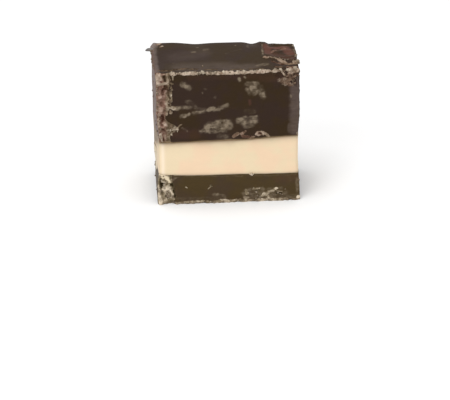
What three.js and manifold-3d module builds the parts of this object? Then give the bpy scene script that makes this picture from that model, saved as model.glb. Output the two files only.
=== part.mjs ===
// Chocolate fudge: one square-cut slice of three layers, standing on its base layer.
// Thick dark fudge lies on pale cream fudge, which lies on a thinner dark base.
// Millimetres, +Z up, the cut front towards -Y, +X to the right.
// The origin is the middle of the flat face that the slice stands on.

import * as THREE from 'three';
import { mergeVertices } from 'three/addons/utils/BufferGeometryUtils.js';
import Module from 'manifold-3d';

// ---- Driving dimensions (mm) ------------------------------------------------------------

const WIDTH = 50.2;
const LEFT = -WIDTH / 2;
const RIGHT = WIDTH / 2;

// The back was cut askew, so the slice is deeper at its left end.
const FRONT = -14.0;
const BACK = { left: 15.0, middle: 13.9, right: 12.3 };

// Heights of the layer boundaries at the left and right ends, and how far each one sags between
// them. The slice stands on z = 0.
const BASE_TOP = { left: 11.6, right: 10.6, sag: 0 };
const CREAM_TOP = { left: 24.0, right: 24.6, sag: 0.4 };
const SLICE_TOP = { left: 50.4, right: 50.4, sag: 0 };
const SAG = { x: -7, reach: 14 };
const LAYER_GAP = 0.06;

// The pale layer was cut a little narrower than its neighbours. On the left the dark fudge
// stands out above and below it, and on the right the side pulls in around it.
const LEFT_FLARE = {
  above: { out: 1.0, from: 27, to: 37, risePerDepth: 0.8 },
  below: { out: 0.9, from: 7.5, to: 14, backShare: 0.5 },
};
const RIGHT_WAIST = { z: 22, reach: 13, depth: 0.5 };

// Rounding of the cut edges, which is larger on the pale layer.
const UPRIGHT_EDGE_RADIUS = 0.9;
const PALE_EDGE_RADIUS = 1.6;
const TOP_EDGE_RADIUS = 0.6;
// The relief of a side dies out this far inside the slice.
const RELIEF_REACH = 4;

// Long low waves that the knife left in every face.
const CUT_WAVES = { seed: 11, count: 9, shortest: 12, longest: 40, height: 0.13 };
const LEVEL_WAVES = { seed: 23, count: 7, shortest: 16, longest: 48, height: 0.1 };
// Crags of the torn places, cut off above and below their limit.
const CRAGS = { seed: 37, count: 14, shortest: 1.9, longest: 5.0, height: 0.6 };
const CRAG_LIMIT = 0.55;

// The front left edge tore when the slice was cut. A thin rim still stands at the edge itself,
// and the torn band behind it is widest at the tongue.
const TEAR = {
  width: 4.3,
  rim: 1.1,
  sideWidth: 1.3,
  sideShare: 0.25,
  softness: 0.9,
  depth: 0.6,
  lip: 0.3,
  narrowing: { z: 33.8, reach: 2.4, less: 1.7 },
  tongue: { z: 29.5, reach: 1.7, more: 3.2 },
};
const TEAR_PIT = { x: -22.4, z: 43.5, radius: 1.3, depth: 0.7 };
const TORN_COLUMN = { width: 4.6, flare: 0.8 };

// Crumb ridge along the front of the top face, and the crumbled corner at its right end.
const TOP_RIDGE = { start: -21.2, reach: 1.1, height: 0.4 };
const CRUMBLED_CORNER = { x: 21.5, z: 48.2, across: 6.5, down: 6.0, depth: 0.15 };
// Raised lip along the left of the top face.
const LEFT_LIP = { reach: 1.5, height: 0.35 };
// Burr along the front bottom edge.
const BOTTOM_BURR = { reach: 1.0, height: 0.35 };

// A flat chip is gone from the back right of the top face. Its front edge is a raised crest.
const CHIP = {
  left: 12.9,
  crestFrom: { x: 12.9, y: -1.2 },
  crestTo: { x: 25.1, y: -7.8 },
  step: 0.45,
  slope: 0.02,
  edge: 0.9,
  crest: 0.45,
};
// The back edge of the top face dips where flakes came away and rises beside the chip.
const BACK_DIPS = [
  { x: -25.8, reach: 1.2, depth: 1.6 },
  { x: -10.5, reach: 5.0, depth: 0.6 },
  { x: 9.9, reach: 2.2, depth: 0.75 },
  { x: 14.3, reach: 1.3, depth: -0.9 },
];
const BACK_DIP_REACH = 4;
// A curl of fudge that hangs on the left edge near the back.
const CURL = { x: -27.0, y: 9.4, z: 50.4, length: 3.2, width: 1.9, thickness: 1.1, tilt: 2 };

// ---- Small helpers ----------------------------------------------------------------------

const lerp = (from, to, share) => from + (to - from) * share;
const clamp = THREE.MathUtils.clamp;
const acrossShare = (x) => (x - LEFT) / WIDTH;
const bump = (offset, reach) => Math.exp(-((offset / reach) ** 2));

// 1 well inside, 0 well outside, with a smooth edge of the given softness.
function inside(distance, reach, softness) {
  return 1 - THREE.MathUtils.smoothstep(distance, reach - softness, reach + softness);
}

// The same draws each time, from a seed.
function seededDraw(seed) {
  let state = seed * 7919 + 1;
  return () => {
    state = (state * 48271) % 2147483647;
    return state / 2147483647;
  };
}

// A sum of sine waves in seeded directions.
function waveField({ seed, count, shortest, longest, height }) {
  const draw = seededDraw(seed);
  const waves = Array.from({ length: count }, () => {
    const up = 2 * draw() - 1;
    const around = 2 * Math.PI * draw();
    const level = Math.sqrt(1 - up * up);
    const number = (2 * Math.PI) / lerp(shortest, longest, draw());
    const direction = new THREE.Vector3(level * Math.cos(around), level * Math.sin(around), up);
    return { direction: direction.multiplyScalar(number), phase: 2 * Math.PI * draw() };
  });
  const scale = height / Math.sqrt(count / 2);
  return (x, y, z) => waves.reduce(
    (sum, { direction, phase }) => (
      sum + scale * Math.sin(direction.x * x + direction.y * y + direction.z * z + phase)
    ),
    0,
  );
}

const cutWaves = waveField(CUT_WAVES);
const levelWaves = waveField(LEVEL_WAVES);
const cragWaves = waveField(CRAGS);
const crags = (x, y, z) => clamp(cragWaves(x, y, z), -CRAG_LIMIT, CRAG_LIMIT);

// ---- Levels: how high each boundary is over a place -----------------------------------------

function backAt(x) {
  const share = acrossShare(x);
  const bow = BACK.middle - (BACK.left + BACK.right) / 2;
  return lerp(BACK.left, BACK.right, share) + bow * Math.sin(Math.PI * share);
}

const floorLevel = () => 0;

function boundaryLevel(ends, order) {
  return (x, y) => (
    lerp(ends.left, ends.right, acrossShare(x))
    - ends.sag * bump(x - SAG.x, SAG.reach)
    + levelWaves(x, y, order * WIDTH)
  );
}

const baseTop = boundaryLevel(BASE_TOP, 1);
const creamTop = boundaryLevel(CREAM_TOP, 2);
const plainTop = boundaryLevel(SLICE_TOP, 3);

// How far a place is behind the crest line of the chip.
function behindCrest(x, y) {
  const { crestFrom: from, crestTo: to } = CHIP;
  return y - lerp(from.y, to.y, (x - from.x) / (to.x - from.x));
}

// Crumb ridge along an edge, at a distance from that edge over either face.
function ridgeAt(x, fromEdge) {
  const begun = THREE.MathUtils.smoothstep(x, TOP_RIDGE.start - 1, TOP_RIDGE.start + 1);
  const rough = 0.8 + crags(3 * x, 0, 7);
  return begun * TOP_RIDGE.height * rough * inside(fromEdge, TOP_RIDGE.reach, 0.6);
}

function lipAt(fromEdge) {
  return LEFT_LIP.height * inside(fromEdge, LEFT_LIP.reach, 0.6);
}

// Crags of the crumbled corner, at a place on the front, the top or the right side.
function crumbledAt(x, y, z) {
  const corner = Math.hypot(
    (x - CRUMBLED_CORNER.x) / CRUMBLED_CORNER.across,
    (z - CRUMBLED_CORNER.z) / CRUMBLED_CORNER.down,
  );
  const crumbled = inside(corner, 0.8, 0.3) * inside(y - FRONT, 2, 1);
  return crumbled * (0.8 * crags(x, y, z) - CRUMBLED_CORNER.depth);
}

function chipDrop(x, y) {
  const behind = behindCrest(x, y);
  const across = x - CHIP.left;
  const chipped = 1 - inside(Math.min(behind, across), CHIP.edge / 2, CHIP.edge);
  const alongCrest = THREE.MathUtils.smoothstep(x, CHIP.left - 1, CHIP.left + 1);
  const crest = CHIP.crest * bump(behind, CHIP.edge) * alongCrest;
  const fallen = CHIP.step + CHIP.slope * Math.max(behind, 0) - 0.4 * crags(x, y, 0);
  return chipped * fallen - crest;
}

function backDip(x, y) {
  const dips = BACK_DIPS.reduce((sum, dip) => sum + dip.depth * bump(x - dip.x, dip.reach), 0);
  return dips * bump(backAt(x) - y, BACK_DIP_REACH);
}

function sliceTop(x, y) {
  const level = plainTop(x, y);
  const edges = Math.max(ridgeAt(x, y - FRONT), lipAt(x - LEFT));
  return level + edges + crumbledAt(x, y, level) - chipDrop(x, y) - backDip(x, y);
}

// ---- Layers --------------------------------------------------------------------------------

const LAYERS = {
  base: {
    name: 'base_fudge_layer',
    bottom: floorLevel,
    top: baseTop,
    heightSteps: 8,
    tear: tornColumn,
    edgeRelief: bottomBurr,
    edgeRadius: UPRIGHT_EDGE_RADIUS,
    roundedTop: 0,
    finish: { color: 0x47372a, roughness: 0.5, metalness: 0 },
  },
  cream: {
    name: 'cream_fudge_layer',
    bottom: baseTop,
    top: creamTop,
    heightSteps: 4,
    tear: () => 0,
    edgeRelief: () => 0,
    edgeRadius: PALE_EDGE_RADIUS,
    roundedTop: 0,
    finish: { color: 0xecd3ad, roughness: 0.55, metalness: 0 },
  },
  top: {
    name: 'top_fudge_layer',
    bottom: creamTop,
    top: sliceTop,
    heightSteps: 18,
    tear: tornBand,
    edgeRelief: topFrontEdge,
    edgeRadius: UPRIGHT_EDGE_RADIUS,
    roundedTop: TOP_EDGE_RADIUS,
    finish: { color: 0x3a2c23, roughness: 0.45, metalness: 0 },
  },
};

// Width of the torn band on the front at a height.
function tornBand(z) {
  const { width, narrowing, tongue } = TEAR;
  return width
    - narrowing.less * bump(z - narrowing.z, narrowing.reach)
    + tongue.more * bump(z - tongue.z, tongue.reach);
}

function tornColumn(z) {
  return TORN_COLUMN.width + TORN_COLUMN.flare * (1 - z / BASE_TOP.left);
}

// Relief of the torn edge at a place, from how much it is torn there.
function tornRelief(torn, x, y, z) {
  return torn * (crags(x, y, z) - TEAR.depth);
}

function bottomBurr(x, z) {
  return BOTTOM_BURR.height * (1 + crags(3 * x, 0, 0)) * inside(z, BOTTOM_BURR.reach, 0.5);
}

function topFrontEdge(x, z) {
  return ridgeAt(x, plainTop(x, FRONT) - z) + crumbledAt(x, FRONT, z);
}

// ---- Sides: how far each one stands out at a place ---------------------------------------------

function frontRelief(layer, x, z) {
  const width = layer.tear(z);
  const relief = cutWaves(x, FRONT, z) + layer.edgeRelief(x, z);
  if (width === 0) return relief;
  const fromEdge = x - LEFT;
  const torn = inside(fromEdge, width, TEAR.softness) * THREE.MathUtils.smoothstep(fromEdge, 0, TEAR.rim);
  const lip = TEAR.lip * bump(fromEdge - width, TEAR.softness);
  const pit = TEAR_PIT.depth * bump(Math.hypot(x - TEAR_PIT.x, z - TEAR_PIT.z), TEAR_PIT.radius);
  return relief + tornRelief(torn, x, FRONT, z) + lip - pit;
}

// How far the left side flares out above and below the pale layer.
function leftFlare(y, z) {
  const { above, below } = LEFT_FLARE;
  const rise = above.risePerDepth * (y - FRONT);
  const upper = above.out * THREE.MathUtils.smoothstep(z + rise, above.from, above.to);
  const fade = lerp(1, below.backShare, (y - FRONT) / (BACK.left - FRONT));
  return upper + below.out * fade * (1 - THREE.MathUtils.smoothstep(z, below.from, below.to));
}

function leftRelief(layer, y, z) {
  const relief = cutWaves(LEFT, y, z) + leftFlare(y, z);
  const lip = layer.roundedTop ? lipAt(plainTop(LEFT, y) - z) : 0;
  if (layer.tear(z) === 0) return relief;
  const torn = TEAR.sideShare * inside(y - FRONT, TEAR.sideWidth, TEAR.softness);
  return relief + lip + tornRelief(torn, LEFT, y, z);
}

function rightRelief(layer, y, z) {
  const relief = cutWaves(RIGHT, y, z) - RIGHT_WAIST.depth * bump(z - RIGHT_WAIST.z, RIGHT_WAIST.reach);
  return layer.roundedTop ? relief + 0.5 * crumbledAt(RIGHT, y, z) : relief;
}

// ---- Lattice of a layer ----------------------------------------------------------------------

// Lines across the slice stand close at the torn left edge and wider to the right.
const ACROSS = [
  0, 0.35, 0.9, 1.6, 2.4, 3.2, 4.0, 4.8, 5.7, 7.0, 9.0, 12.0, 15.5, 19.5, 23.5, 27.5, 31.0,
  34.0, 36.6, 38.4, 40.4, 42.6, 44.8, 46.8, 48.4, 49.5, WIDTH,
].map((step) => LEFT + step);
const BACKWARD = [0, 0.012, 0.04, 0.09, 0.17, 0.26, 0.36, 0.47, 0.58, 0.7, 0.82, 0.93, 0.985, 1];

function heightShares(layer) {
  const steps = Array.from({ length: layer.heightSteps + 1 }, (_, k) => k / layer.heightSteps);
  if (layer.roundedTop) steps.splice(-1, 0, 1 - 0.4 / layer.heightSteps);
  return steps;
}

// A point of the box with its outer edges rounded.
function roundedPoint(layer, x, y, z, back, high) {
  const radius = layer.edgeRadius;
  const core = new THREE.Vector3(
    clamp(x, LEFT + radius, RIGHT - radius),
    clamp(y, FRONT + radius, back - radius),
    layer.roundedTop ? Math.min(z, high - layer.roundedTop) : z,
  );
  const reach = new THREE.Vector3(x, y, z).sub(core);
  const longest = Math.max(Math.abs(reach.x), Math.abs(reach.y), Math.abs(reach.z));
  return longest === 0 ? core : core.add(reach.setLength(longest));
}

// The place of a lattice point: each side's relief moves what is near that side.
function placePoint(layer, x, backShare, heightShare) {
  const back = backAt(x);
  const y = lerp(FRONT, back, backShare);
  const low = layer.bottom(x, y) + (layer.bottom === floorLevel ? 0 : LAYER_GAP);
  const high = layer.top(x, y);
  const z = lerp(low, high, heightShare);
  const near = (distance) => Math.max(0, 1 - distance / RELIEF_REACH);
  const point = roundedPoint(layer, x, y, z, back, high);
  point.y -= frontRelief(layer, x, z) * near(y - FRONT);
  point.y += cutWaves(x, back, z) * near(back - y);
  point.x -= leftRelief(layer, y, z) * near(x - LEFT);
  point.x += rightRelief(layer, y, z) * near(RIGHT - x);
  return point;
}

// A closed skin over the six sides of the layer's lattice.
function layerGeometry(layer) {
  const heights = heightShares(layer);
  const size = [ACROSS.length - 1, BACKWARD.length - 1, heights.length - 1];
  const positions = [];
  const numbers = new Map();
  const vertex = (i, j, k) => {
    const key = `${i},${j},${k}`;
    if (!numbers.has(key)) {
      numbers.set(key, positions.length / 3);
      positions.push(...placePoint(layer, ACROSS[i], BACKWARD[j], heights[k]).toArray());
    }
    return numbers.get(key);
  };
  const triangles = [];
  // One side: the lattice axes that run over it, and the fixed axis with its end.
  const addSide = (axisU, axisV, fixedAxis, end) => {
    for (let u = 0; u < size[axisU]; u += 1) {
      for (let v = 0; v < size[axisV]; v += 1) {
        const corner = (du, dv) => {
          const at = [0, 0, 0];
          at[axisU] = u + du;
          at[axisV] = v + dv;
          at[fixedAxis] = end * size[fixedAxis];
          return vertex(...at);
        };
        const [a, b, c, d] = [corner(0, 0), corner(1, 0), corner(1, 1), corner(0, 1)];
        triangles.push(...(end ? [a, b, c, a, c, d] : [a, c, b, a, d, c]));
      }
    }
  };
  [[0, 1, 2], [1, 2, 0], [2, 0, 1]].forEach(([u, v, fixed]) => {
    addSide(u, v, fixed, 0);
    addSide(u, v, fixed, 1);
  });
  const geometry = new THREE.BufferGeometry();
  geometry.setAttribute('position', new THREE.Float32BufferAttribute(positions, 3));
  geometry.setIndex(triangles);
  return geometry;
}

// ---- Crumbs -----------------------------------------------------------------------------------

// Where large crumbs stick on: a spot is [x, share of depth, share of height] on a layer.
const onFront = (x, height) => [x, 0, height];
const onTop = (x, depth) => [x, depth, 1];
const onLeft = (depth, height) => [LEFT, depth, height];
const onRight = (depth, height) => [RIGHT, depth, height];
const onBack = (x, height) => [x, 1, height];

// A patch scatters its crumbs between two bounds of x, of depth and of height.
const CRUMB_PATCHES = [
  { layer: 'top', count: 18, size: [0.5, 0.9], spot: (r) => onTop(r(-20.5, 21), r(0, 0.02)) },
  { layer: 'top', count: 13, size: [0.5, 0.9], spot: (r) => onFront(r(-24.2, -20.8), r(0.08, 0.96)) },
  { layer: 'top', count: 5, size: [0.5, 0.8], spot: (r) => onFront(r(-21, -17.6), r(0.17, 0.24)) },
  { layer: 'top', count: 8, size: [0.5, 0.8], spot: (r) => onFront(r(16.5, 24), r(0.84, 0.98)) },
  { layer: 'top', count: 6, size: [0.5, 0.9], spot: (r) => onTop(r(14, 24.6), r(0.3, 0.5)) },
  { layer: 'top', count: 4, size: [0.4, 0.7], spot: (r) => onLeft(r(0, 1), r(0.1, 0.9)) },
  { layer: 'top', count: 4, size: [0.4, 0.7], spot: (r) => onRight(r(0, 1), r(0.1, 0.9)) },
  { layer: 'top', count: 4, size: [0.4, 0.7], spot: (r) => onBack(r(-24, 24), r(0.1, 0.9)) },
  { layer: 'base', count: 15, size: [0.5, 1.0], spot: (r) => onFront(r(-24.3, -20.6), r(0.14, 0.84)) },
  { layer: 'base', count: 9, size: [0.5, 0.8], spot: (r) => onFront(r(5, 18), r(0.12, 0.4)) },
  { layer: 'base', count: 3, size: [0.4, 0.7], spot: (r) => onRight(r(0, 1), r(0.15, 0.8)) },
  { layer: 'base', count: 3, size: [0.4, 0.7], spot: (r) => onBack(r(-24, 24), r(0.15, 0.8)) },
];
const CRUMB_SINK = 0.42;
const CRUMB_CLEARANCE = 0.15;

// A rough crumb: a jittered icosahedron, of 20 faces where it isn't divided.
function crumbGeometry(size, draw, division = 0) {
  const geometry = new THREE.IcosahedronGeometry(size / 2, division);
  geometry.deleteAttribute('normal');
  geometry.deleteAttribute('uv');
  const crumb = mergeVertices(geometry);
  const positions = crumb.attributes.position;
  for (let i = 0; i < positions.count; i += 1) {
    const stretch = lerp(0.78, 1.25, draw());
    positions.setXYZ(
      i,
      positions.getX(i) * stretch,
      positions.getY(i) * stretch,
      positions.getZ(i) * stretch * 0.85,
    );
  }
  crumb.rotateX(Math.PI * draw());
  crumb.rotateZ(2 * Math.PI * draw());
  return crumb;
}

// The cell of the lattice lines that holds a value, and how far the value lies across it.
function cellOf(lines, value) {
  const index = clamp(lines.findIndex((line) => line >= value), 1, lines.length - 1) - 1;
  return { index, share: (value - lines[index]) / (lines[index + 1] - lines[index]) };
}

// The way out of the slice at a spot.
function outward(x, depth, height) {
  if (height === 1) return new THREE.Vector3(0, 0, 1);
  if (depth === 0 || depth === 1) return new THREE.Vector3(0, 2 * depth - 1, 0);
  return new THREE.Vector3(Math.sign(x), 0, 0);
}

// A spot on the faceted skin. The skin's triangles meet along the diagonal from the cell's
// low corner to its high one, so the spot is mixed from the corners passed when the axes are
// climbed in the order of their shares.
function skinPoint(layer, x, depth, height) {
  const lines = [ACROSS, BACKWARD, heightShares(layer)];
  const cells = [x, depth, height].map((value, axis) => cellOf(lines[axis], value));
  const climb = [0, 1, 2].sort((a, b) => cells[b].share - cells[a].share);
  const shares = [1, ...climb.map((axis) => cells[axis].share), 0];
  const at = cells.map((cell) => cell.index);
  const point = new THREE.Vector3();
  for (let step = 0; step <= climb.length; step += 1) {
    const corner = placePoint(layer, ...at.map((index, axis) => lines[axis][index]));
    point.addScaledVector(corner, shares[step] - shares[step + 1]);
    if (step < climb.length) at[climb[step]] += 1;
  }
  return point;
}

// Keeps a crumb on an upright face clear of the layers above and below it.
function clearShare(layer, x, depth, height, size) {
  if (height === 1) return height;
  const y = lerp(FRONT, backAt(x), depth);
  const low = layer.bottom(x, y);
  const room = (0.65 * size + CRUMB_CLEARANCE) / (layer.top(x, y) - low);
  return clamp(height, room, 1 - room);
}

// Crumbs of one layer, each sunk a little into the face it sticks to.
function crumbsOf(key) {
  const layer = LAYERS[key];
  return CRUMB_PATCHES.filter((patch) => patch.layer === key).flatMap((patch, order) => {
    const draw = seededDraw(101 + 17 * order + key.length);
    const between = (low, high) => lerp(low, high, draw());
    return Array.from({ length: patch.count }, () => {
      const [x, depth, height] = patch.spot(between);
      const size = lerp(...patch.size, draw());
      const share = clearShare(layer, x, depth, height, size);
      const out = outward(x, depth, share).multiplyScalar((0.5 - CRUMB_SINK) * size);
      const centre = skinPoint(layer, x, depth, share).add(out);
      return crumbGeometry(size, draw).translate(centre.x, centre.y, centre.z);
    });
  });
}

// The curl on the left edge: a thin rough chip that reaches out sideways.
function curlGeometry() {
  const curl = crumbGeometry(1, seededDraw(59), 1);
  curl.scale(CURL.length, CURL.width, CURL.thickness);
  curl.rotateY(THREE.MathUtils.degToRad(CURL.tilt));
  return curl.translate(CURL.x, CURL.y, CURL.z);
}

// ---- Joining ------------------------------------------------------------------------------------

const manifold = await Module();
manifold.setup();

function toSolid(geometry) {
  return new manifold.Manifold(new manifold.Mesh({
    numProp: 3,
    vertProperties: new Float32Array(geometry.attributes.position.array),
    triVerts: new Uint32Array(geometry.index.array),
  }));
}

function fromSolid(solid) {
  const { vertProperties, triVerts } = solid.getMesh();
  const geometry = new THREE.BufferGeometry();
  geometry.setAttribute('position', new THREE.BufferAttribute(vertProperties, 3));
  geometry.setIndex(new THREE.BufferAttribute(triVerts, 1));
  return geometry;
}

function buildLayer(key) {
  const layer = LAYERS[key];
  const pieces = crumbsOf(key);
  if (key === 'top') pieces.push(curlGeometry());
  const body = toSolid(layerGeometry(layer));
  const solid = pieces.reduce((whole, piece) => whole.add(toSolid(piece)), body);
  const mesh = new THREE.Mesh(fromSolid(solid), new THREE.MeshStandardMaterial(layer.finish));
  mesh.name = layer.name;
  return mesh;
}

const group = new THREE.Group();
group.name = 'chocolate_fudge';
Object.keys(LAYERS).forEach((key) => group.add(buildLayer(key)));

export default group;
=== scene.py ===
"""Looks of one slice of layered chocolate fudge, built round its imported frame.

The slice stands on its base layer with its cut front towards -Y. Each layer of the frame is
replaced by a fine skin of the same form, worked out from the same named sizes as the solid.
Smears, torn places, loose crumbs and worn edges are added to that skin.
Sizes are in millimetres until a mesh is written, which is in metres.
"""

import itertools
import logging
import math
from dataclasses import dataclass, fields
from enum import Enum, IntEnum
from typing import Mapping

import bpy
import numpy as np
from mathutils import Matrix, Vector


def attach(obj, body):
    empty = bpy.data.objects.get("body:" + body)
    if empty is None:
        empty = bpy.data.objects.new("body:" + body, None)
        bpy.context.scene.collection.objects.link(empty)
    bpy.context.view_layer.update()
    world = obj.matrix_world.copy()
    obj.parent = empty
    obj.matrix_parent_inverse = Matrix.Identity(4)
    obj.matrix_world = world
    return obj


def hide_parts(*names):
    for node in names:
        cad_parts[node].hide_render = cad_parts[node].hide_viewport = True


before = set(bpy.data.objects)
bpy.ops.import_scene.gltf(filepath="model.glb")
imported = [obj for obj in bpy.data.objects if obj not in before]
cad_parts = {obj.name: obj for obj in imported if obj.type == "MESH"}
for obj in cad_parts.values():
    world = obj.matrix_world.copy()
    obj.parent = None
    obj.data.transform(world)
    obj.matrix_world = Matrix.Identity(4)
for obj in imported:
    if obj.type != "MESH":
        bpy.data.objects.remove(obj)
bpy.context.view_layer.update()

LOG = logging.getLogger("fudge")
MM = 0.001
BODY = "root"
Array = np.ndarray
Colour = tuple[float, float, float]


# ---- Numbers over whole arrays ----------------------------------------------------------------


def lerp(start: Array, end: Array, share: Array) -> Array:
    """Value at a share of the way from start to end."""
    return start + (end - start) * share


def smoothstep(value: Array, low: float, high: float) -> Array:
    """0 below low, 1 above high, and 3t^2 - 2t^3 between them."""
    share = np.clip((value - low) / (high - low), 0.0, 1.0)
    return share * share * (3.0 - 2.0 * share)


def inside(distance: Array, reach: Array, softness: float) -> Array:
    """1 well within a reach and 0 well past it, over an edge of the given softness."""
    return 1.0 - smoothstep(distance - reach, -softness, softness)


def bump(offset: Array, reach: float) -> Array:
    """A bell of height 1: e to the power of minus (offset / reach) squared."""
    return np.exp(-((offset / reach) ** 2))


def srgb(red: float, green: float, blue: float) -> Colour:
    """Linear colour of three display levels from 0 to 255: ((v + 0.055) / 1.055) to the 2.4."""
    return tuple(((level / 255 + 0.055) / 1.055) ** 2.4 for level in (red, green, blue))


class SeededDraw:
    """The same draws between 0 and 1 each time: state times 48271, modulo 2^31 - 1."""

    def __init__(self, seed: int) -> None:
        """Starts the row of draws that a whole number picks."""
        self.state = seed * 7919 + 1

    def __call__(self) -> float:
        """The next draw."""
        self.state = self.state * 48271 % 2147483647
        return self.state / 2147483647


@dataclass(frozen=True)
class WaveField:
    """A sum of sine waves in seeded directions.

    Its value is height / sqrt(count / 2) times the sum of sin(direction . place + phase).
    """

    seed: int
    count: int
    shortest: float
    longest: float
    height: float

    def __call__(self, x: Array, y: Array, z: Array) -> Array:
        """Height of the field.

        Args:
            x, y, z: coordinates that fit together as arrays or numbers.

        Returns:
            Heights in millimetres.
        """
        draw = SeededDraw(self.seed)
        total = 0.0
        for _ in range(self.count):
            up = 2.0 * draw() - 1.0
            around = 2.0 * math.pi * draw()
            level = math.sqrt(1.0 - up * up)
            number = 2.0 * math.pi / lerp(self.shortest, self.longest, draw())
            phase = 2.0 * math.pi * draw()
            along = level * math.cos(around) * x + level * math.sin(around) * y + up * z
            total = total + np.sin(number * along + phase)
        return total * self.height / math.sqrt(self.count / 2.0)


def cell_draws(cells: Array, seed: int) -> Array:
    """Random numbers for lattice cells, by mixing the bits of their whole numbers.

    Args:
        cells: whole numbers, shape (n, 3).
        seed: picks another set of numbers.

    Returns:
        One number from 0 to 1 for each cell, shape (n,).
    """
    word = np.uint64(0xFFFFFFFF)
    mixed = cells.astype(np.int64).astype(np.uint64)
    key = np.full(len(cells), seed * 2654435761 % 2**32, dtype=np.uint64)
    for axis, prime in enumerate((73856093, 19349663, 83492791)):
        key ^= (mixed[:, axis] * np.uint64(prime)) & word
    for shift, prime in ((15, 2246822519), (13, 3266489917)):
        key = ((key ^ (key >> np.uint64(shift))) * np.uint64(prime)) & word
    key ^= key >> np.uint64(16)
    return key.astype(float) / float(2**32)


def soft_noise(places: Array, size: float, seed: int, octaves: int = 3) -> Array:
    """Smooth noise: blended lattice draws, each octave half as large and strong.

    Args:
        places: points in millimetres, shape (n, 3).
        size: lattice size of the first octave.
        seed: picks the noise.
        octaves: how many sizes are summed.

    Returns:
        Values about 0, mostly from -1 to 1, shape (n,).
    """
    total = np.zeros(len(places))
    for octave in range(octaves):
        scaled = places / (size * 0.5**octave)
        cell = np.floor(scaled)
        share = smoothstep(scaled - cell, 0.0, 1.0)
        for corner in itertools.product((0, 1), repeat=3):
            offset = np.array(corner)
            blend = np.where(offset == 1, share, 1.0 - share).prod(axis=1)
            total += blend * (cell_draws(cell + offset, seed + octave) - 0.5) * 0.5**octave
    return 3.0 * total / (2.0 - 0.5 ** (octaves - 1))


def soft_shift(places: Array, size: float, seed: int) -> Array:
    """Smooth noise along each of three axes, with a seed of its own each, shape (n, 3)."""
    return np.stack([soft_noise(places, size, seed + axis) for axis in range(3)], axis=1)


def grains(places: Array, size: float, seed: int) -> tuple[Array, Array]:
    """Round grains that touch: domes over the points of a jittered lattice.

    A dome is 1 - (distance to the nearest point / size) squared, kept above 0.

    Args:
        places: points in millimetres, shape (n, 3).
        size: mean width of a grain.
        seed: picks the grains.

    Returns:
        The dome's height and a random tone of its grain, both from 0 to 1, shape (n,).
    """
    scaled = places / size
    cell = np.floor(scaled)
    nearest = np.full(len(places), np.inf)
    tone = np.zeros(len(places))
    for corner in itertools.product((-1, 0, 1), repeat=3):
        at = cell + np.array(corner)
        jitter = np.stack([cell_draws(at, seed + axis) for axis in range(3)], axis=1)
        distance = ((at + jitter - scaled) ** 2).sum(axis=1)
        tone = np.where(distance < nearest, cell_draws(at, seed + 5), tone)
        nearest = np.minimum(distance, nearest)
    return np.clip(1.0 - nearest, 0.0, 1.0), tone


class Seed(IntEnum):
    """What picks each pattern of noise, grains or draws."""

    CUT_WAVES = 11
    LEVEL_WAVES = 23
    CRAGS = 37
    COARSE_GRAINS = 3
    FINE_GRAINS = 7
    PATCHES = 41
    STRAY = 90
    COARSE_STRAY = 190
    UNEVEN_EDGES = 19
    SEAMS = 29
    DRAWN_STREAKS = 31
    CUT_FACES = 61
    CURL_SHAPE = 71
    CURL_TONE = 83
    CRUMBS = 5


# ---- Form of the slice ------------------------------------------------------------------------


class Layer(Enum):
    """The three layers, from the bottom up, by the names of their frame nodes."""

    BASE = "base_fudge_layer"
    CREAM = "cream_fudge_layer"
    TOP = "top_fudge_layer"


class Side(Enum):
    """A side that shows: its outward axis and sign, then the axes across it and up it."""

    FRONT = (1, -1, 0, 2)
    BACK = (1, 1, 0, 2)
    LEFT = (0, -1, 1, 2)
    RIGHT = (0, 1, 1, 2)
    TOP = (2, 1, 0, 1)

    def facing(self, normals: Array) -> Array:
        """How much normals face this way: 0 up to 17 degrees off square, 1 from 53 degrees."""
        axis, sign, _, _ = self.value
        return smoothstep(sign * normals[:, axis], 0.3, 0.8)


@dataclass(frozen=True)
class Ends:
    """A value at the left and right ends of the slice, and how far it sags between them."""

    left: float
    right: float
    sag: float = 0.0


@dataclass(frozen=True)
class Bell:
    """A bell-shaped change of a width: where it is, how far it reaches and how much it adds."""

    at: float
    reach: float
    height: float

    def __call__(self, value: Array) -> Array:
        """The change at a value."""
        return self.height * bump(value - self.at, self.reach)


@dataclass(frozen=True)
class Tear:
    """The torn edge at the front left: a band of crags behind a thin standing rim."""

    width: float = 4.3
    rim: float = 1.1
    side_width: float = 1.3
    side_share: float = 0.25
    softness: float = 0.9
    depth: float = 0.6
    lip: float = 0.3
    narrowing: Bell = Bell(33.8, 2.4, -1.7)
    tongue: Bell = Bell(29.5, 1.7, 3.2)
    column_width: float = 4.6
    column_flare: float = 0.8
    pit: tuple[float, float] = (-22.4, 43.5)
    pit_radius: float = 1.3
    pit_depth: float = 0.7


@dataclass(frozen=True)
class Chip:
    """The flat chip gone from the back right of the top face, behind its raised crest."""

    left: float = 12.9
    crest_start: tuple[float, float] = (12.9, -1.2)
    crest_end: tuple[float, float] = (25.1, -7.8)
    step: float = 0.45
    slope: float = 0.02
    edge: float = 0.9
    crest: float = 0.45
    crag_share: float = 0.4


@dataclass(frozen=True)
class CrumbledCorner:
    """The crumbled front corner at the right of the top face."""

    x: float = 21.5
    z: float = 48.2
    across: float = 6.5
    down: float = 6.0
    depth: float = 0.15
    edge: tuple[float, float] = (0.8, 0.3)
    back: tuple[float, float] = (2.0, 1.0)
    crag_share: float = 0.8
    side_share: float = 0.5


@dataclass(frozen=True)
class Flare:
    """How far the left side stands out above and below the pale layer."""

    above: float = 1.0
    above_from: float = 27.0
    above_to: float = 37.0
    rise_per_depth: float = 0.8
    below: float = 0.9
    below_from: float = 7.5
    below_to: float = 14.0
    back_share: float = 0.5


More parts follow.
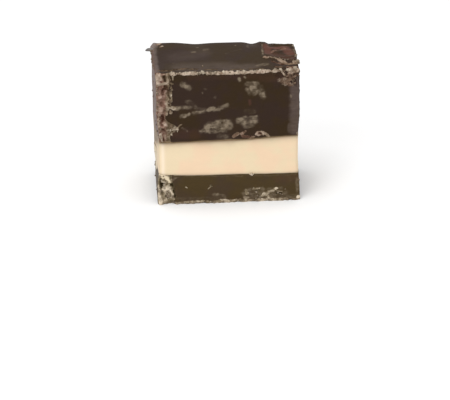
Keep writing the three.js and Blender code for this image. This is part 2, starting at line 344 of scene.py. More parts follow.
@dataclass(frozen=True)
class SliceForm:
    """Levels and sides of the slice, worked out over whole arrays in millimetres."""

    width: float = 50.2
    front: float = -14.0
    back: Ends = Ends(15.0, 12.3)
    back_middle: float = 13.9
    base_top: Ends = Ends(11.6, 10.6)
    cream_top: Ends = Ends(24.0, 24.6, 0.4)
    slice_top: Ends = Ends(50.4, 50.4)
    sag_at: float = -7.0
    sag_reach: float = 14.0
    right_waist: Bell = Bell(22.0, 13.0, -0.5)
    upright_radius: float = 0.9
    pale_radius: float = 1.6
    top_radius: float = 0.6
    relief_reach: float = 4.0
    cut_waves: WaveField = WaveField(Seed.CUT_WAVES, 9, 12.0, 40.0, 0.13)
    level_waves: WaveField = WaveField(Seed.LEVEL_WAVES, 7, 16.0, 48.0, 0.1)
    crag_waves: WaveField = WaveField(Seed.CRAGS, 14, 1.9, 5.0, 0.6)
    crag_limit: float = 0.55
    tear: Tear = Tear()
    chip: Chip = Chip()
    corner: CrumbledCorner = CrumbledCorner()
    flare: Flare = Flare()
    ridge_start: float = -21.2
    ridge_reach: float = 1.1
    ridge_height: float = 0.4
    ridge_rough: float = 0.8
    ridge_crags: float = 7.0
    crag_squeeze: float = 3.0
    run_in: float = 1.0
    edge_softness: float = 0.6
    lip_reach: float = 1.5
    lip_height: float = 0.35
    burr_reach: float = 1.0
    burr_height: float = 0.35
    burr_softness: float = 0.5
    dips: tuple[Bell, ...] = (
        Bell(-25.8, 1.2, 1.6), Bell(-10.5, 5.0, 0.6), Bell(9.9, 2.2, 0.75), Bell(14.3, 1.3, -0.9),
    )
    dip_reach: float = 4.0

    @property
    def left(self) -> float:
        """X of the left end."""
        return -self.width / 2.0

    @property
    def right(self) -> float:
        """X of the right end."""
        return self.width / 2.0

    def between(self, ends: Ends, x: Array) -> Array:
        """Value on the line between two ends of the slice, less the bell that it sags by."""
        line = lerp(ends.left, ends.right, (x - self.left) / self.width)
        return line - ends.sag * bump(x - self.sag_at, self.sag_reach)

    def back_at(self, x: Array) -> Array:
        """Y of the back: a straight line between its ends plus half a sine wave's bow."""
        bow = self.back_middle - (self.back.left + self.back.right) / 2.0
        return self.between(self.back, x) + bow * np.sin(math.pi * (x - self.left) / self.width)

    def crags(self, x: Array, y: Array, z: Array) -> Array:
        """Crags of broken fudge, cut off above and below their limit."""
        return np.clip(self.crag_waves(x, y, z), -self.crag_limit, self.crag_limit)

    def level(self, ends: Ends, order: int, x: Array, y: Array) -> Array:
        """A boundary's height: a line between its ends plus low waves of its own order."""
        return self.between(ends, x) + self.level_waves(x, y, order * self.width)

    def plain_top(self, x: Array, y: Array) -> Array:
        """Height of the top face before its edges and its chip."""
        return self.level(self.slice_top, 3, x, y)

    def levels(self, layer: Layer, x: Array, y: Array) -> tuple[Array, Array]:
        """Heights of a layer.

        Args:
            layer: the layer.
            x, y: places in plan.

        Returns:
            Its bottom and its top there.
        """
        base = self.level(self.base_top, 1, x, y)
        cream = self.level(self.cream_top, 2, x, y)
        return {
            Layer.BASE: (np.zeros_like(base), base),
            Layer.CREAM: (base, cream),
            Layer.TOP: (cream, self.top_at(x, y)),
        }[layer]

    def behind_crest(self, x: Array, y: Array) -> Array:
        """How far a place is behind the line of the chip's crest."""
        (x0, y0), (x1, y1) = self.chip.crest_start, self.chip.crest_end
        return y - lerp(y0, y1, (x - x0) / (x1 - x0))

    def chipped(self, x: Array, y: Array) -> Array:
        """1 where the chip is gone and 0 where the face is whole."""
        nearer = np.minimum(self.behind_crest(x, y), x - self.chip.left)
        return 1.0 - inside(nearer, self.chip.edge / 2.0, self.chip.edge)

    def crest(self, x: Array, y: Array) -> Array:
        """1 on the crest in front of the chip, falling away on both sides of its line."""
        begun = smoothstep(x, self.chip.left - self.run_in, self.chip.left + self.run_in)
        return bump(self.behind_crest(x, y), self.chip.edge) * begun

    def ridge(self, x: Array, from_edge: Array) -> Array:
        """Height of the crumb ridge along the front top edge, at a distance from the edge."""
        rough = self.ridge_rough + self.crags(self.crag_squeeze * x, 0.0, self.ridge_crags)
        return self.ridge_begun(x) * self.ridge_height * rough * self.edge_band(from_edge, self.ridge_reach)

    def ridge_begun(self, x: Array) -> Array:
        """0 to the left of the ridge's start and 1 along the ridge."""
        return smoothstep(x, self.ridge_start - self.run_in, self.ridge_start + self.run_in)

    def edge_band(self, from_edge: Array, reach: float) -> Array:
        """1 next to an edge and 0 past a reach."""
        return inside(from_edge, reach, self.edge_softness)

    def crumbled(self, x: Array, y: Array, z: Array) -> Array:
        """1 in the crumbled corner at the front top right, 0 away from it."""
        away = np.hypot((x - self.corner.x) / self.corner.across, (z - self.corner.z) / self.corner.down)
        return inside(away, *self.corner.edge) * inside(y - self.front, *self.corner.back)

    def crumbled_relief(self, x: Array, y: Array, z: Array) -> Array:
        """Crags of the crumbled corner."""
        craggy = self.corner.crag_share * self.crags(x, y, z) - self.corner.depth
        return self.crumbled(x, y, z) * craggy

    def top_at(self, x: Array, y: Array) -> Array:
        """Height of the top face with its ridge, lip, crumbled corner, chip and dips.

        Args:
            x, y: places in plan.

        Returns:
            Heights above the floor.
        """
        level = self.plain_top(x, y)
        lip = self.lip_height * self.edge_band(x - self.left, self.lip_reach)
        edges = np.maximum(self.ridge(x, y - self.front), lip)
        behind = np.maximum(self.behind_crest(x, y), 0.0)
        craggy = self.chip.crag_share * self.crags(x, y, 0.0)
        fallen = self.chip.step + self.chip.slope * behind - craggy
        drop = self.chipped(x, y) * fallen - self.chip.crest * self.crest(x, y)
        dips = sum(dip(x) for dip in self.dips) * bump(self.back_at(x) - y, self.dip_reach)
        return level + edges + self.crumbled_relief(x, y, level) - drop - dips

    def tear_width(self, layer: Layer, z: Array) -> Array:
        """Width of the torn band on the front.

        Args:
            layer: the layer.
            z: heights.

        Returns:
            The width at each height, 0 on the pale layer.
        """
        tear = self.tear
        if layer is Layer.CREAM:
            return np.zeros_like(z)
        if layer is Layer.BASE:
            return tear.column_width + tear.column_flare * (1.0 - z / self.base_top.left)
        return tear.width + tear.narrowing(z) + tear.tongue(z)

    def front_relief(self, layer: Layer, x: Array, z: Array) -> Array:
        """How far the front stands out: waves, its edge, and the torn band with lip and pit.

        Args:
            layer: the layer.
            x, z: places on the front.

        Returns:
            Distances outwards.
        """
        relief = self.cut_waves(x, self.front, z)
        if layer is Layer.CREAM:
            return relief
        if layer is Layer.TOP:
            relief = relief + self.ridge(x, self.plain_top(x, self.front) - z)
            relief = relief + self.crumbled_relief(x, self.front, z)
        else:
            rough = 1.0 + self.crags(self.crag_squeeze * x, 0.0, 0.0)
            relief = relief + self.burr_height * rough * inside(z, self.burr_reach, self.burr_softness)
        tear, from_edge, width = self.tear, x - self.left, self.tear_width(layer, z)
        torn = inside(from_edge, width, tear.softness) * smoothstep(from_edge, 0.0, tear.rim)
        lip = tear.lip * bump(from_edge - width, tear.softness)
        away = np.hypot(x - tear.pit[0], z - tear.pit[1])
        craggy = torn * (self.crags(x, self.front, z) - tear.depth)
        return relief + craggy + lip - tear.pit_depth * bump(away, tear.pit_radius)

    def left_flare(self, y: Array, z: Array) -> Array:
        """How far the left side flares out above and below the pale layer.

        Args:
            y, z: places on the left side.

        Returns:
            Distances outwards.
        """
        flare = self.flare
        share = (y - self.front) / (self.back.left - self.front)
        rise = flare.rise_per_depth * (y - self.front)
        upper = flare.above * smoothstep(z + rise, flare.above_from, flare.above_to)
        fade = lerp(1.0, flare.back_share, share)
        return upper + flare.below * fade * (1.0 - smoothstep(z, flare.below_from, flare.below_to))

    def left_relief(self, layer: Layer, y: Array, z: Array) -> Array:
        """How far the left side stands out: waves and flare, then the lip and the tear.

        Args:
            layer: the layer.
            y, z: places on the left side.

        Returns:
            Distances outwards.
        """
        relief = self.cut_waves(self.left, y, z) + self.left_flare(y, z)
        if layer is Layer.CREAM:
            return relief
        if layer is Layer.TOP:
            below = self.plain_top(self.left, y) - z
            relief = relief + self.lip_height * self.edge_band(below, self.lip_reach)
        torn = self.tear.side_share * inside(y - self.front, self.tear.side_width, self.tear.softness)
        return relief + torn * (self.crags(self.left, y, z) - self.tear.depth)

    def right_relief(self, layer: Layer, y: Array, z: Array) -> Array:
        """How far the right side stands out: waves and waist, then the crumbled corner."""
        relief = self.cut_waves(self.right, y, z) + self.right_waist(z)
        if layer is not Layer.TOP:
            return relief
        return relief + self.corner.side_share * self.crumbled_relief(self.right, y, z)

    def place(self, layer: Layer, x: Array, depth: Array, height: Array) -> tuple[Array, Array]:
        """Skin points at shares of the layer's depth and height, with the way out of the skin.

        The box's edges are rounded by pulling each point to a set distance from a smaller
        core box. Then each side's relief moves what is near that side.

        Args:
            layer: the layer.
            x: places across the slice.
            depth: shares of the way from front to back.
            height: shares of the way from the layer's bottom to its top.

        Returns:
            The points and the unit normals, both of shape (n, 3).
        """
        back = self.back_at(x)
        y = lerp(self.front, back, depth)
        low, high = self.levels(layer, x, y)
        z = lerp(low, high, height)
        radius = self.pale_radius if layer is Layer.CREAM else self.upright_radius
        core = np.stack(
            [
                np.clip(x, self.left + radius, self.right - radius),
                np.clip(y, self.front + radius, back - radius),
                np.minimum(z, high - self.top_radius) if layer is Layer.TOP else z,
            ],
            axis=1,
        )
        reach = np.stack([x, y, z], axis=1) - core
        length = np.linalg.norm(reach, axis=1, keepdims=True)
        flat = length[:, 0] == 0.0
        upright = np.stack([0.0 * z, 0.0 * z, np.sign(height - 0.5)], axis=1)
        normals = np.where(flat[:, None], upright, reach / np.where(flat[:, None], 1.0, length))
        points = core + normals * np.abs(reach).max(axis=1, keepdims=True)

        def near(distance: Array) -> Array:
            """Share of a side's relief at a distance inside it."""
            return np.maximum(0.0, 1.0 - distance / self.relief_reach)

        points[:, 1] -= self.front_relief(layer, x, z) * near(y - self.front)
        points[:, 1] += self.cut_waves(x, back, z) * near(back - y)
        points[:, 0] -= self.left_relief(layer, y, z) * near(x - self.left)
        points[:, 0] += self.right_relief(layer, y, z) * near(self.right - x)
        return points, normals

    def on_side(self, layer: Layer, side: Side, across: Array, up: Array) -> tuple[Array, Array]:
        """Skin points at places given across a side and up it.

        Args:
            layer: the layer.
            side: the side.
            across, up: places along the side's own two axes.

        Returns:
            The points and the unit normals, both of shape (n, 3).
        """
        one = np.ones_like(across)
        if side is Side.TOP:
            depth = (up - self.front) / (self.back_at(across) - self.front)
            return self.place(layer, across, np.clip(depth, 0.0, 1.0), one)
        if side in (Side.FRONT, Side.BACK):
            x, depth = across, one * (side is Side.BACK)
        else:
            x = one * (self.left if side is Side.LEFT else self.right)
            depth = (across - self.front) / (self.back_at(x) - self.front)
        depth = np.clip(depth, 0.0, 1.0)
        low, high = self.levels(layer, x, lerp(self.front, self.back_at(x), depth))
        return self.place(layer, x, depth, np.clip((up - low) / (high - low), 0.02, 0.98))


# ---- Camera -------------------------------------------------------------------------------------


@dataclass(frozen=True)
class StudioCamera:
    """The camera: how far, how high and how far round it stands, and its slight roll."""

    elevation: float = 25.0
    turned_left: float = 3.4
    roll: float = -0.7587
    lens: float = 309.384
    sensor: float = 36.0
    distance: float = 1400.0
    aim: tuple[float, float, float] = (-1.15, 0.0, -5.736)
    view: tuple[int, int] = (450, 400)
    clip: tuple[float, float] = (0.1, 10.0)

    def build(self) -> None:
        """Makes the scene's camera, with no depth of field."""
        yaw, rise = math.radians(self.turned_left), math.radians(self.elevation)
        back = Vector((-math.sin(yaw) * math.cos(rise), -math.cos(yaw) * math.cos(rise), math.sin(rise)))
        right = Vector((math.cos(yaw), -math.sin(yaw), 0.0))
        turn = Matrix((right, back.cross(right), back)).transposed()
        turn = turn @ Matrix.Rotation(math.radians(self.roll), 3, "Z")
        data = bpy.data.cameras.new("camera")
        data.lens = self.lens
        data.sensor_width = self.sensor
        data.clip_start, data.clip_end = self.clip
        camera = bpy.data.objects.new("camera", data)
        place = (Vector(self.aim) + back * self.distance) * MM
        camera.matrix_world = Matrix.Translation(place) @ turn.to_4x4()
        bpy.context.scene.collection.objects.link(camera)
        bpy.context.scene.camera = camera

    def cast(self, column: float, row: float, axis: int, level: float) -> Array:
        """Where the line of sight through a place in the view meets a plane.

        The line runs along -back + (column - middle) / focal right + (middle - row) / focal up,
        with the focal length in pixels, until its coordinate on the axis is the plane's level.

        Args:
            column, row: the place in the view, in pixels from its top left.
            axis: the axis that the plane is square to.
            level: the plane's place on it, in millimetres.

        Returns:
            The point, in millimetres.
        """
        yaw, rise, roll = np.radians((self.turned_left, self.elevation, self.roll))
        back = np.array([-np.sin(yaw) * np.cos(rise), -np.cos(yaw) * np.cos(rise), np.sin(rise)])
        level_right = np.array([np.cos(yaw), -np.sin(yaw), 0.0])
        level_up = np.cross(back, level_right)
        right = np.cos(roll) * level_right + np.sin(roll) * level_up
        up = -np.sin(roll) * level_right + np.cos(roll) * level_up
        wide, high = self.view
        focal = self.lens / self.sensor * wide
        sight = (column - wide / 2) / focal * right + (high / 2 - row) / focal * up - back
        start = np.array(self.aim) + self.distance * back
        return start + (level - start[axis]) / sight[axis] * sight


CAMERA = StudioCamera()


# ---- Wear: what the knife and the crumbs left on each side ------------------------------------


@dataclass(frozen=True)
class Stroke:
    """A stroke on a side, from one place across and up it to another, of a half width.

    level is how strong it is or, where fudge tore, how pale. red turns olive to reddish brown.
    """

    x0: float
    up0: float
    x1: float
    up1: float
    wide: float
    level: float = 1.0
    red: float = 0.0

    def cover(self, across: Array, up: Array) -> Array:
        """1 along the stroke, falling to 0 between 0.4 and 1.3 half widths off its line.

        Args:
            across, up: places on the stroke's side.

        Returns:
            Cover from 0 to 1 at each place.
        """
        run_x, run_up = self.x1 - self.x0, self.up1 - self.up0
        square = max(run_x**2 + run_up**2, self.wide**2 / 100.0)
        along = ((across - self.x0) * run_x + (up - self.up0) * run_up) / square
        share = np.clip(along, 0.0, 1.0)
        off = np.hypot(across - self.x0 - share * run_x, up - self.up0 - share * run_up)
        return inside(off / self.wide, 0.85, 0.45)


Strokes = Mapping[Side, tuple[Stroke, ...]]


def strewn(seed: int, count: int, heights: tuple[float, float], wide: float, level: float) -> Strokes:
    """Short level strokes strewn over the back, the left and the right side.

    Args:
        seed: picks the strokes.
        count: how many there are on a side.
        heights: lowest and highest place.
        wide: largest half width.
        level: highest level.

    Returns:
        The strokes of each side.
    """
    draws = np.random.default_rng(seed)
    sides = {}
    for side, reach in ((Side.BACK, 22.0), (Side.LEFT, 11.0), (Side.RIGHT, 11.0)):
        across = draws.uniform(-reach, reach, count)
        up = draws.uniform(*heights, count)
        length = wide * draws.uniform(0.5, 4.0, count)
        lean = length * draws.uniform(-0.3, 0.3, count)
        width = wide * draws.uniform(0.4, 1.0, count)
        rows = zip(across, up, across + length, up + lean, width, level * draws.uniform(0.5, 1.0, count))
        sides[side] = tuple(Stroke(*row) for row in rows)
    return sides


Rows = tuple[tuple[float, ...], ...]

# The planes that seen strokes are cast on, the most that a level can be, and how much wider and
# stronger the smears on the front of the top layer are than their rows say.
SEEN_LEVELS = {Side.FRONT: -14.2, Side.TOP: 50.5}
STRONGEST = 1.2
SMEAR_GROWTH = 1.45
SMEAR_GAIN = 1.2


def seen(side: Side, rows: Rows, growth: float = 1.0, gain: float = 1.0) -> tuple[Stroke, ...]:
    """Strokes on a side, to a tenth of a millimetre, from rows of places in the camera's view.

    Args:
        side: the front or the top.
        rows: the strokes' rows.
        growth: what half widths are multiplied by.
        gain: what levels are multiplied by, up to the strongest.

    Returns:
        The strokes, in their order.
    """
    axis, _, across, up = side.value
    strokes = []
    for column0, row0, column1, row1, wide, level, *red in rows:
        starts = CAMERA.cast(column0, row0, axis, SEEN_LEVELS[side])
        ends = CAMERA.cast(column1, row1, axis, SEEN_LEVELS[side])
        places = [round(float(point[along]), 1) for point in (starts, ends) for along in (across, up)]
        strength = round(min(level * gain, STRONGEST), 2)
        strokes.append(Stroke(*places, round(wide * growth, 2), strength, *red))
    return tuple(strokes)


@dataclass(frozen=True)
class LayerWear:
    """Strokes of one dark layer, by the side that they are on.

    films are smears that the knife dragged, torn are places where fudge broke off, painted in
    their order, then come paler greyer places, partly dull and partly painted sheen, redder places,
    which on the left side are painted sheen too, and cream pale smudges.
    """

    films: Strokes
    torn: Strokes
    rubbed: Strokes
    ruddy: Strokes
    cream: Strokes


# Places of strokes, listed one by one: the column and row in the camera's view where a stroke starts
# and where it ends, its half width in millimetres, its level and, where it has one, its red.
# The torn band down the front left edge: its flesh, then its shadows and pale strands.
TORN_BAND = (
    (161.5, 86, 162.5, 104, 1.6, 0.62, 1), (161, 104.5, 164, 107.5, 0.8, 0.35, 1),
    (161, 110, 162, 114, 0.8, 0.68, 0.9), (162.6, 118, 162.3, 125, 0.5, 0.15, 1),
    (166, 88, 169.5, 97, 0.7, 0.15, 0.3), (169.5, 102, 170, 106, 0.6, 0.1, 0.1),
    (157, 76, 157.6, 84, 0.8, 0.84, 0.5), (159.6, 75.5, 161.2, 80.5, 0.6, 0.8, 0.5),
    (161, 82.6, 162.2, 84, 0.35, 0.25, 1), (163.6, 77, 165, 82, 0.6, 0.1),
    (167.2, 74.5, 167.6, 81.5, 0.5, 0.6, 0.1), (169.7, 76, 169.9, 81, 0.3, 0.2),
    (172.8, 74.5, 172.5, 80.5, 0.4, 0.5), (159, 86, 168, 83.6, 0.6, 0.86, 0.35),
    (168, 83.6, 173.3, 84, 0.35, 0.5), (164.3, 90, 167.3, 90.5, 0.6, 0.05, 0.5),
    (162.3, 92, 162.6, 95.5, 0.45, 0.2, 1), (166.2, 93.2, 166.4, 94.2, 0.45, 0.66, 0.9),
    (171, 86, 171.6, 93, 0.3, 0.45), (170.4, 94, 171, 101, 0.6, 0.62, 0.05),
    (169.3, 97.5, 169.6, 99, 0.3, 0.05), (171.2, 95.6, 171.4, 96.2, 0.3, 0.95, 0.1),
    (167.2, 100, 167, 115, 0.5, 0.66, 0.15), (170.5, 108, 174.3, 109, 0.8, 0.7, 0.05),
    (170.2, 112, 171.2, 113.5, 0.55, 0.6, 0.05), (160.2, 116.3, 160.4, 116.9, 0.35, 1, 0.5),
    (158.8, 115, 159, 127, 0.35, 0.75, 0.4), (164.3, 123.8, 166.8, 126.6, 0.6, 0.75, 0.6),
    (161.6, 127, 162, 127.4, 0.4, 0.6, 1), (163, 129.5, 165, 132, 0.5, 0.08, 0.8),
    (168.5, 131.8, 177, 129.4, 0.8, 0.58, 0.1), (173, 131.2, 177, 129.6, 0.42, 0.98, 0.2),
    (178, 127.6, 180.8, 124.8, 0.35, 0.5), (168, 126.5, 172, 128, 0.4, 0.4),
    (171.8, 135, 172.4, 135.3, 0.35, 0.85, 0.2), (165.2, 136.3, 165.4, 137, 0.35, 0.66, 0.5),
    (160, 133.5, 160.1, 140, 0.4, 0.05, 1), (160.7, 134.5, 162, 142, 0.45, 0.95, 0.35),
    (163.8, 139, 164.4, 142, 0.35, 0.05, 0.9),
)
# Dug places beside the pale layer, with painted shade in their pits.
DUG_PLACES = (
    (243, 136.3, 251, 137.6, 0.75, 0.12, 0.8), (233.5, 136.3, 238, 133.7, 0.8, 0.4, 0.4),
    (241.5, 134, 245.3, 131.7, 0.6, 0.5, 0.6), (258, 133.8, 262.6, 133.6, 1.05, 0.6, 0.5),
    (259.4, 133.7, 260.8, 133.7, 0.34, 0.05, 0.6), (266, 134, 269, 136.3, 0.5, 0.5, 0.1),
    (254.5, 137, 250, 138.5, 0.4, 0.5, 0.4), (297.5, 133.5, 298.2, 138, 0.5, 0.7, 0.1),
)
# The crumbled corner at the front right.
CORNER_TEARS = (
    (281.7, 71.5, 284.8, 75.3, 0.4, 0.62, 0.2), (287, 76.5, 293, 73.8, 0.4, 0.45, 0.5),
    (291.5, 78, 298.3, 75.5, 0.45, 0.5, 0.4), (289, 73.5, 298, 70.5, 0.6, 0.58, 0.4),
    (288, 78.5, 291, 77, 0.4, 0.15, 0.6), (295, 74, 298, 76.5, 0.4, 0.12, 0.6),
    (286.7, 81, 292, 80, 0.6, 0.34, 0.4), (287, 84, 290, 84.3, 0.4, 0.3, 0.5),
    (289, 86, 291.5, 86.2, 0.4, 0.1, 0.5),
)
# Smears on the cut front of the top layer.
FRONT_SMEARS = (
    (182.3, 84.3, 188.6, 87.6, 0.9, 0.6), (186, 86, 187, 86.2, 0.45, 0.8),
    (202.4, 92.2, 202.6, 92.8, 0.3, 0.6), (205.2, 88.6, 205.4, 89, 0.35, 0.3),
    (214.5, 96.5, 214.7, 97.3, 0.4, 0.5), (176, 109, 191, 107.3, 0.65, 0.68),
    (188, 101.8, 195, 107, 0.9, 0.4), (193, 108, 207, 109.2, 0.6, 0.3),
    (181.3, 116.3, 188.2, 114.8, 0.6, 0.78), (193.4, 113.6, 203, 111.6, 0.55, 0.6),
    (203, 111.3, 209, 109.3, 0.45, 0.5), (208.9, 109.7, 213.4, 108, 0.65, 1.1),
    (213.4, 110, 219.2, 109.6, 0.55, 0.68), (219, 108.4, 226.8, 105.2, 0.65, 0.66),
    (200.8, 132, 210, 126, 0.6, 0.9), (206, 130.8, 219, 129.8, 0.9, 0.8), (210, 127, 227, 124.6, 1.5, 0.85),
    (217, 122.2, 224, 122.2, 0.8, 0.75), (221, 130, 229, 127, 1, 0.66),
    (203, 131.2, 209, 129.6, 0.42, 1.15), (238.5, 121.3, 246, 119, 1, 0.8),
    (244, 122.5, 255, 120.3, 1.2, 0.75), (250, 117.5, 257.5, 116.9, 0.45, 0.6),
    (246, 126.3, 252, 125, 0.8, 0.5), (241.4, 118.4, 242, 119, 0.4, 1), (254, 120, 254.6, 120.6, 0.4, 1),
    (246, 111.6, 253.6, 111.6, 0.8, 0.3), (248, 84.4, 256.4, 84.1, 0.9, 0.6), (253, 88, 255, 92, 1.1, 0.82),
    (247.5, 89.5, 249.5, 92, 0.65, 0.6), (250, 93.6, 255, 92.6, 0.6, 0.5), (260, 88, 263, 96.5, 0.95, 0.62),
    (263.4, 94, 264, 97, 0.5, 0.95), (260.8, 89.8, 261.2, 90.4, 0.4, 0.8),
    (290.8, 95.5, 291, 96.8, 0.35, 0.7), (219, 136.5, 226, 137, 0.9, 0.42),
    (182, 128.3, 187.5, 131.5, 0.3, 0.4), (238.5, 78.7, 239.4, 80.8, 0.5, 0.95),
    (244.5, 77.4, 245.5, 77.6, 0.4, 0.65),
)
# Smears on the top face, then the painted shadow behind its crumb ridge, its torn corner, and the crest of
# its chip with painted shade along its foot.
FACE_SMEARS = (
    (193, 51.6, 194.8, 51.4, 0.8, 0.75), (197.6, 47.2, 197.8, 47.2, 0.5, 1.1),
    (205, 49.6, 207, 49.4, 1.2, 0.5), (235.3, 45.7, 235.7, 45.7, 0.5, 0.9),
    (247.2, 45.5, 247.6, 47.8, 0.5, 0.5), (225.4, 53.6, 241, 49.4, 0.4, 0.35),
    (262, 44.6, 262.7, 54, 0.45, 0.75), (258, 64.8, 266.5, 63.8, 1.3, 0.68),
    (170, 61, 170.3, 61, 0.6, 0.35), (173, 62.4, 173.4, 62.4, 0.5, 0.3),
    (293.2, 44.5, 296.8, 57, 0.45, 0.7),
)
FACE_TEARS_AND_SHADOWS = (
    (159, 70.6, 171, 70.4, 0.7, 0.12), (173.5, 69.2, 178.5, 69.2, 0.6, 0.08),
    (181, 68.6, 187, 68.4, 0.6, 0.08), (190, 68.8, 197, 68.4, 0.6, 0.08), (205, 69, 217, 68.8, 0.5, 0.15),
    (231, 68.6, 243, 68.4, 0.5, 0.2), (249, 68.2, 263, 67.8, 0.4, 0.15),
    (157, 45.2, 160, 44, 0.7, 0.66, 0.4), (160.4, 46.8, 162.4, 46.4, 0.6, 0.5, 0.3),
    (272, 50.4, 284, 47.2, 0.8, 0.34, 1), (264.7, 57.2, 268, 57.8, 0.8, 0.44, 0.4),
    (268.5, 56.6, 278, 58.6, 1.1, 0.52, 0.4), (277, 59, 286.5, 63.6, 0.8, 0.54, 0.4),
    (287, 64, 299, 63.4, 0.8, 0.48, 0.4), (294.5, 62, 299, 60.6, 1, 0.55, 0.35),
    (272, 61.2, 283, 64, 0.7, 0.08, 0.6), (288, 66.8, 297, 66.8, 0.9, 0.05, 0.7),
    (276, 66.5, 281, 66.6, 0.6, 0.15, 0.5),
)
# A paler, greyer strip down the right of the front, then its redder places and those of the chip.
PALE_GREY_STRIP = (
    (299, 76, 299, 133, 1, 0.42), (295, 90, 295, 131, 2, 0.36), (290, 125, 290, 131, 0.9, 0.28),
)
FRONT_RUDDY = (
    (190, 77.5, 286, 74.5, 1.4, 0.1), (262, 78, 290, 79, 1.8, 0.12),
    (249.6, 101.5, 249.8, 103.2, 0.7, 0.35), (176, 134, 196, 135, 2.2, 0.14),
)
CHIP_RUDDY = (
    (266.5, 45.5, 268, 52, 1.6, 0.75), (270, 46.5, 285, 45.4, 1.4, 0.85), (285, 46.5, 290, 52, 2, 0.75),
    (272, 53, 290, 57, 2.2, 0.3),
)
# The base layer's craggy column and torn places, its smears, and the cream on its top corner.
BASE_TEARS = (
    (160.6, 180, 161.8, 191, 0.6, 0.02, 0.1), (158.2, 187, 159.8, 197, 0.7, 0.85, 0.3),
    (159.5, 197, 161, 204.5, 0.9, 0.9, 0.3), (162.8, 186, 162.4, 190, 0.45, 0.05),
    (164, 190, 170, 188, 1, 0.9, 0.1), (164.5, 193, 168, 195.5, 0.7, 0.8, 0.1),
    (169.6, 190.3, 173, 195, 0.5, 0.95, 0.15), (172.8, 184, 175.2, 197, 0.4, 0),
    (170.2, 183.4, 171.6, 186.8, 0.45, 0.03), (162, 183, 165.2, 184.2, 0.5, 0.85, 0.1),
    (163.8, 197, 166.6, 202, 0.7, 0.66, 0.1), (168.5, 197, 173.2, 199.5, 0.55, 0.6, 0.05),
    (166.6, 197, 168, 199, 0.35, 0.12), (158.5, 187.2, 158.7, 188, 0.35, 1.05, 0.4),
    (160.2, 196.6, 160.4, 197.4, 0.4, 1.05, 0.3), (160.2, 203, 160.6, 204, 0.4, 1.05, 0.3),
    (185.8, 187, 187.2, 188, 0.24, 0.66), (208.6, 187.9, 211.6, 186.9, 0.3, 0.56),
    (210.5, 185.6, 211.5, 185.6, 0.3, 0.1), (245.8, 190, 247.3, 194, 0.6, 0.5, 0.1),
    (254, 188.6, 258.6, 188.7, 0.5, 0.45, 0.1), (255, 191.4, 258, 191.2, 0.3, 0.1, 0.1),
    (263, 195.6, 269, 192, 0.7, 0.6, 0.2), (268, 195.5, 270, 199, 0.5, 0.52, 0.2),
    (270, 191.5, 276.5, 188.6, 0.5, 0.6, 0.2), (275.8, 188.5, 277, 188.2, 0.45, 1.05, 0.4),
    (276.5, 190.6, 282, 191.4, 0.28, 0.66, 0.3), (276, 193, 281.5, 193.3, 0.3, 0.06, 0.2),
    (297.8, 197.4, 298.8, 196.4, 0.6, 0.95, 0.3), (250.6, 174, 253.4, 173.2, 0.5, 0.95, 0.2),
)
BASE_SMEARS = (
    (214, 194.5, 224, 196.3, 0.8, 0.6), (216.5, 194.4, 218.5, 194.8, 0.5, 1),
    (245, 197, 269, 196.3, 0.8, 0.6), (243.5, 197.6, 249, 197.4, 0.4, 1), (258, 190.5, 268, 193, 1, 0.52),
    (280, 196.8, 297, 196.4, 1.1, 0.52), (289.5, 178.5, 291, 180.5, 0.5, 0.3),
    (172, 180, 180, 176.6, 0.4, 0.5), (246, 193, 262, 190, 1.9, 0.55), (262, 196, 285, 194, 1.8, 0.55),
    (270, 190.5, 280, 189.5, 1.4, 0.52), (297.8, 180, 298.5, 194, 1.1, 0.52),
    (174, 176.8, 215, 176.2, 0.4, 0.35), (215, 176.2, 296, 175, 0.4, 0.35), (172, 200, 225, 198.6, 1, 0.35),
)
BASE_CREAM = (
    (162.5, 176.5, 167, 178.5, 1, 1), (167.2, 179, 169.8, 183.3, 0.6, 0.95),
    (162, 181, 163.5, 183, 0.5, 0.6),
)
TOP_WEAR = LayerWear(
    films={
        Side.FRONT: seen(Side.FRONT, FRONT_SMEARS, SMEAR_GROWTH, SMEAR_GAIN),
        Side.TOP: seen(Side.TOP, FACE_SMEARS),
        **strewn(5, 9, (27.0, 47.0), 1.1, 0.9),
    },
    torn={
        Side.FRONT: seen(Side.FRONT, TORN_BAND + DUG_PLACES + CORNER_TEARS),
        Side.TOP: seen(Side.TOP, FACE_TEARS_AND_SHADOWS),
        **strewn(6, 4, (27.0, 47.0), 0.6, 0.8),
    },
    rubbed={
        Side.FRONT: seen(Side.FRONT, PALE_GREY_STRIP),
        # Paler greyer places on the top face: painted sheen along its left lip, a pale patch at its back
        # left corner, and broad patches of painted sheen, partly dull, over its left and middle front.
        Side.TOP: (
            Stroke(-25.7, -12.0, -25.7, 14.0, 1.3, 0.46),
            Stroke(-26.2, 10.5, -24.6, 14.5, 1.7, 1.0),
            Stroke(-16.0, -7.5, 0.0, -8.5, 4.5, 0.18),
            Stroke(0.0, -9.5, 8.0, -9.5, 3.4, 0.22),
            Stroke(-17.0, 2.0, -9.0, 4.5, 4.5, 0.09),
        ),
        # The whole left side painted paler and greyer: painted sheen of that glancing side.
        Side.LEFT: (Stroke(-15.0, 36.0, 15.0, 34.0, 30.0, 0.42),),
    },
    ruddy={
        Side.FRONT: seen(Side.FRONT, FRONT_RUDDY),
        Side.TOP: seen(Side.TOP, CHIP_RUDDY),
        # The whole left side tinted paler and redder too, as more painted sheen.
        Side.LEFT: (Stroke(-15.0, 36.0, 15.0, 34.0, 30.0, 0.5),),
    },
    cream={},
)
BASE_WEAR = LayerWear(
    films={Side.FRONT: seen(Side.FRONT, BASE_SMEARS), **strewn(7, 5, (2.5, 8.0), 0.9, 0.9)},
    torn={Side.FRONT: seen(Side.FRONT, BASE_TEARS), **strewn(8, 3, (2.5, 8.0), 0.5, 0.8)},
    rubbed={},
    ruddy={Side.FRONT: (Stroke(17.0, 8.2, 24.0, 8.6, 1.6, 0.3),)},
    cream={Side.FRONT: seen(Side.FRONT, BASE_CREAM)},
)


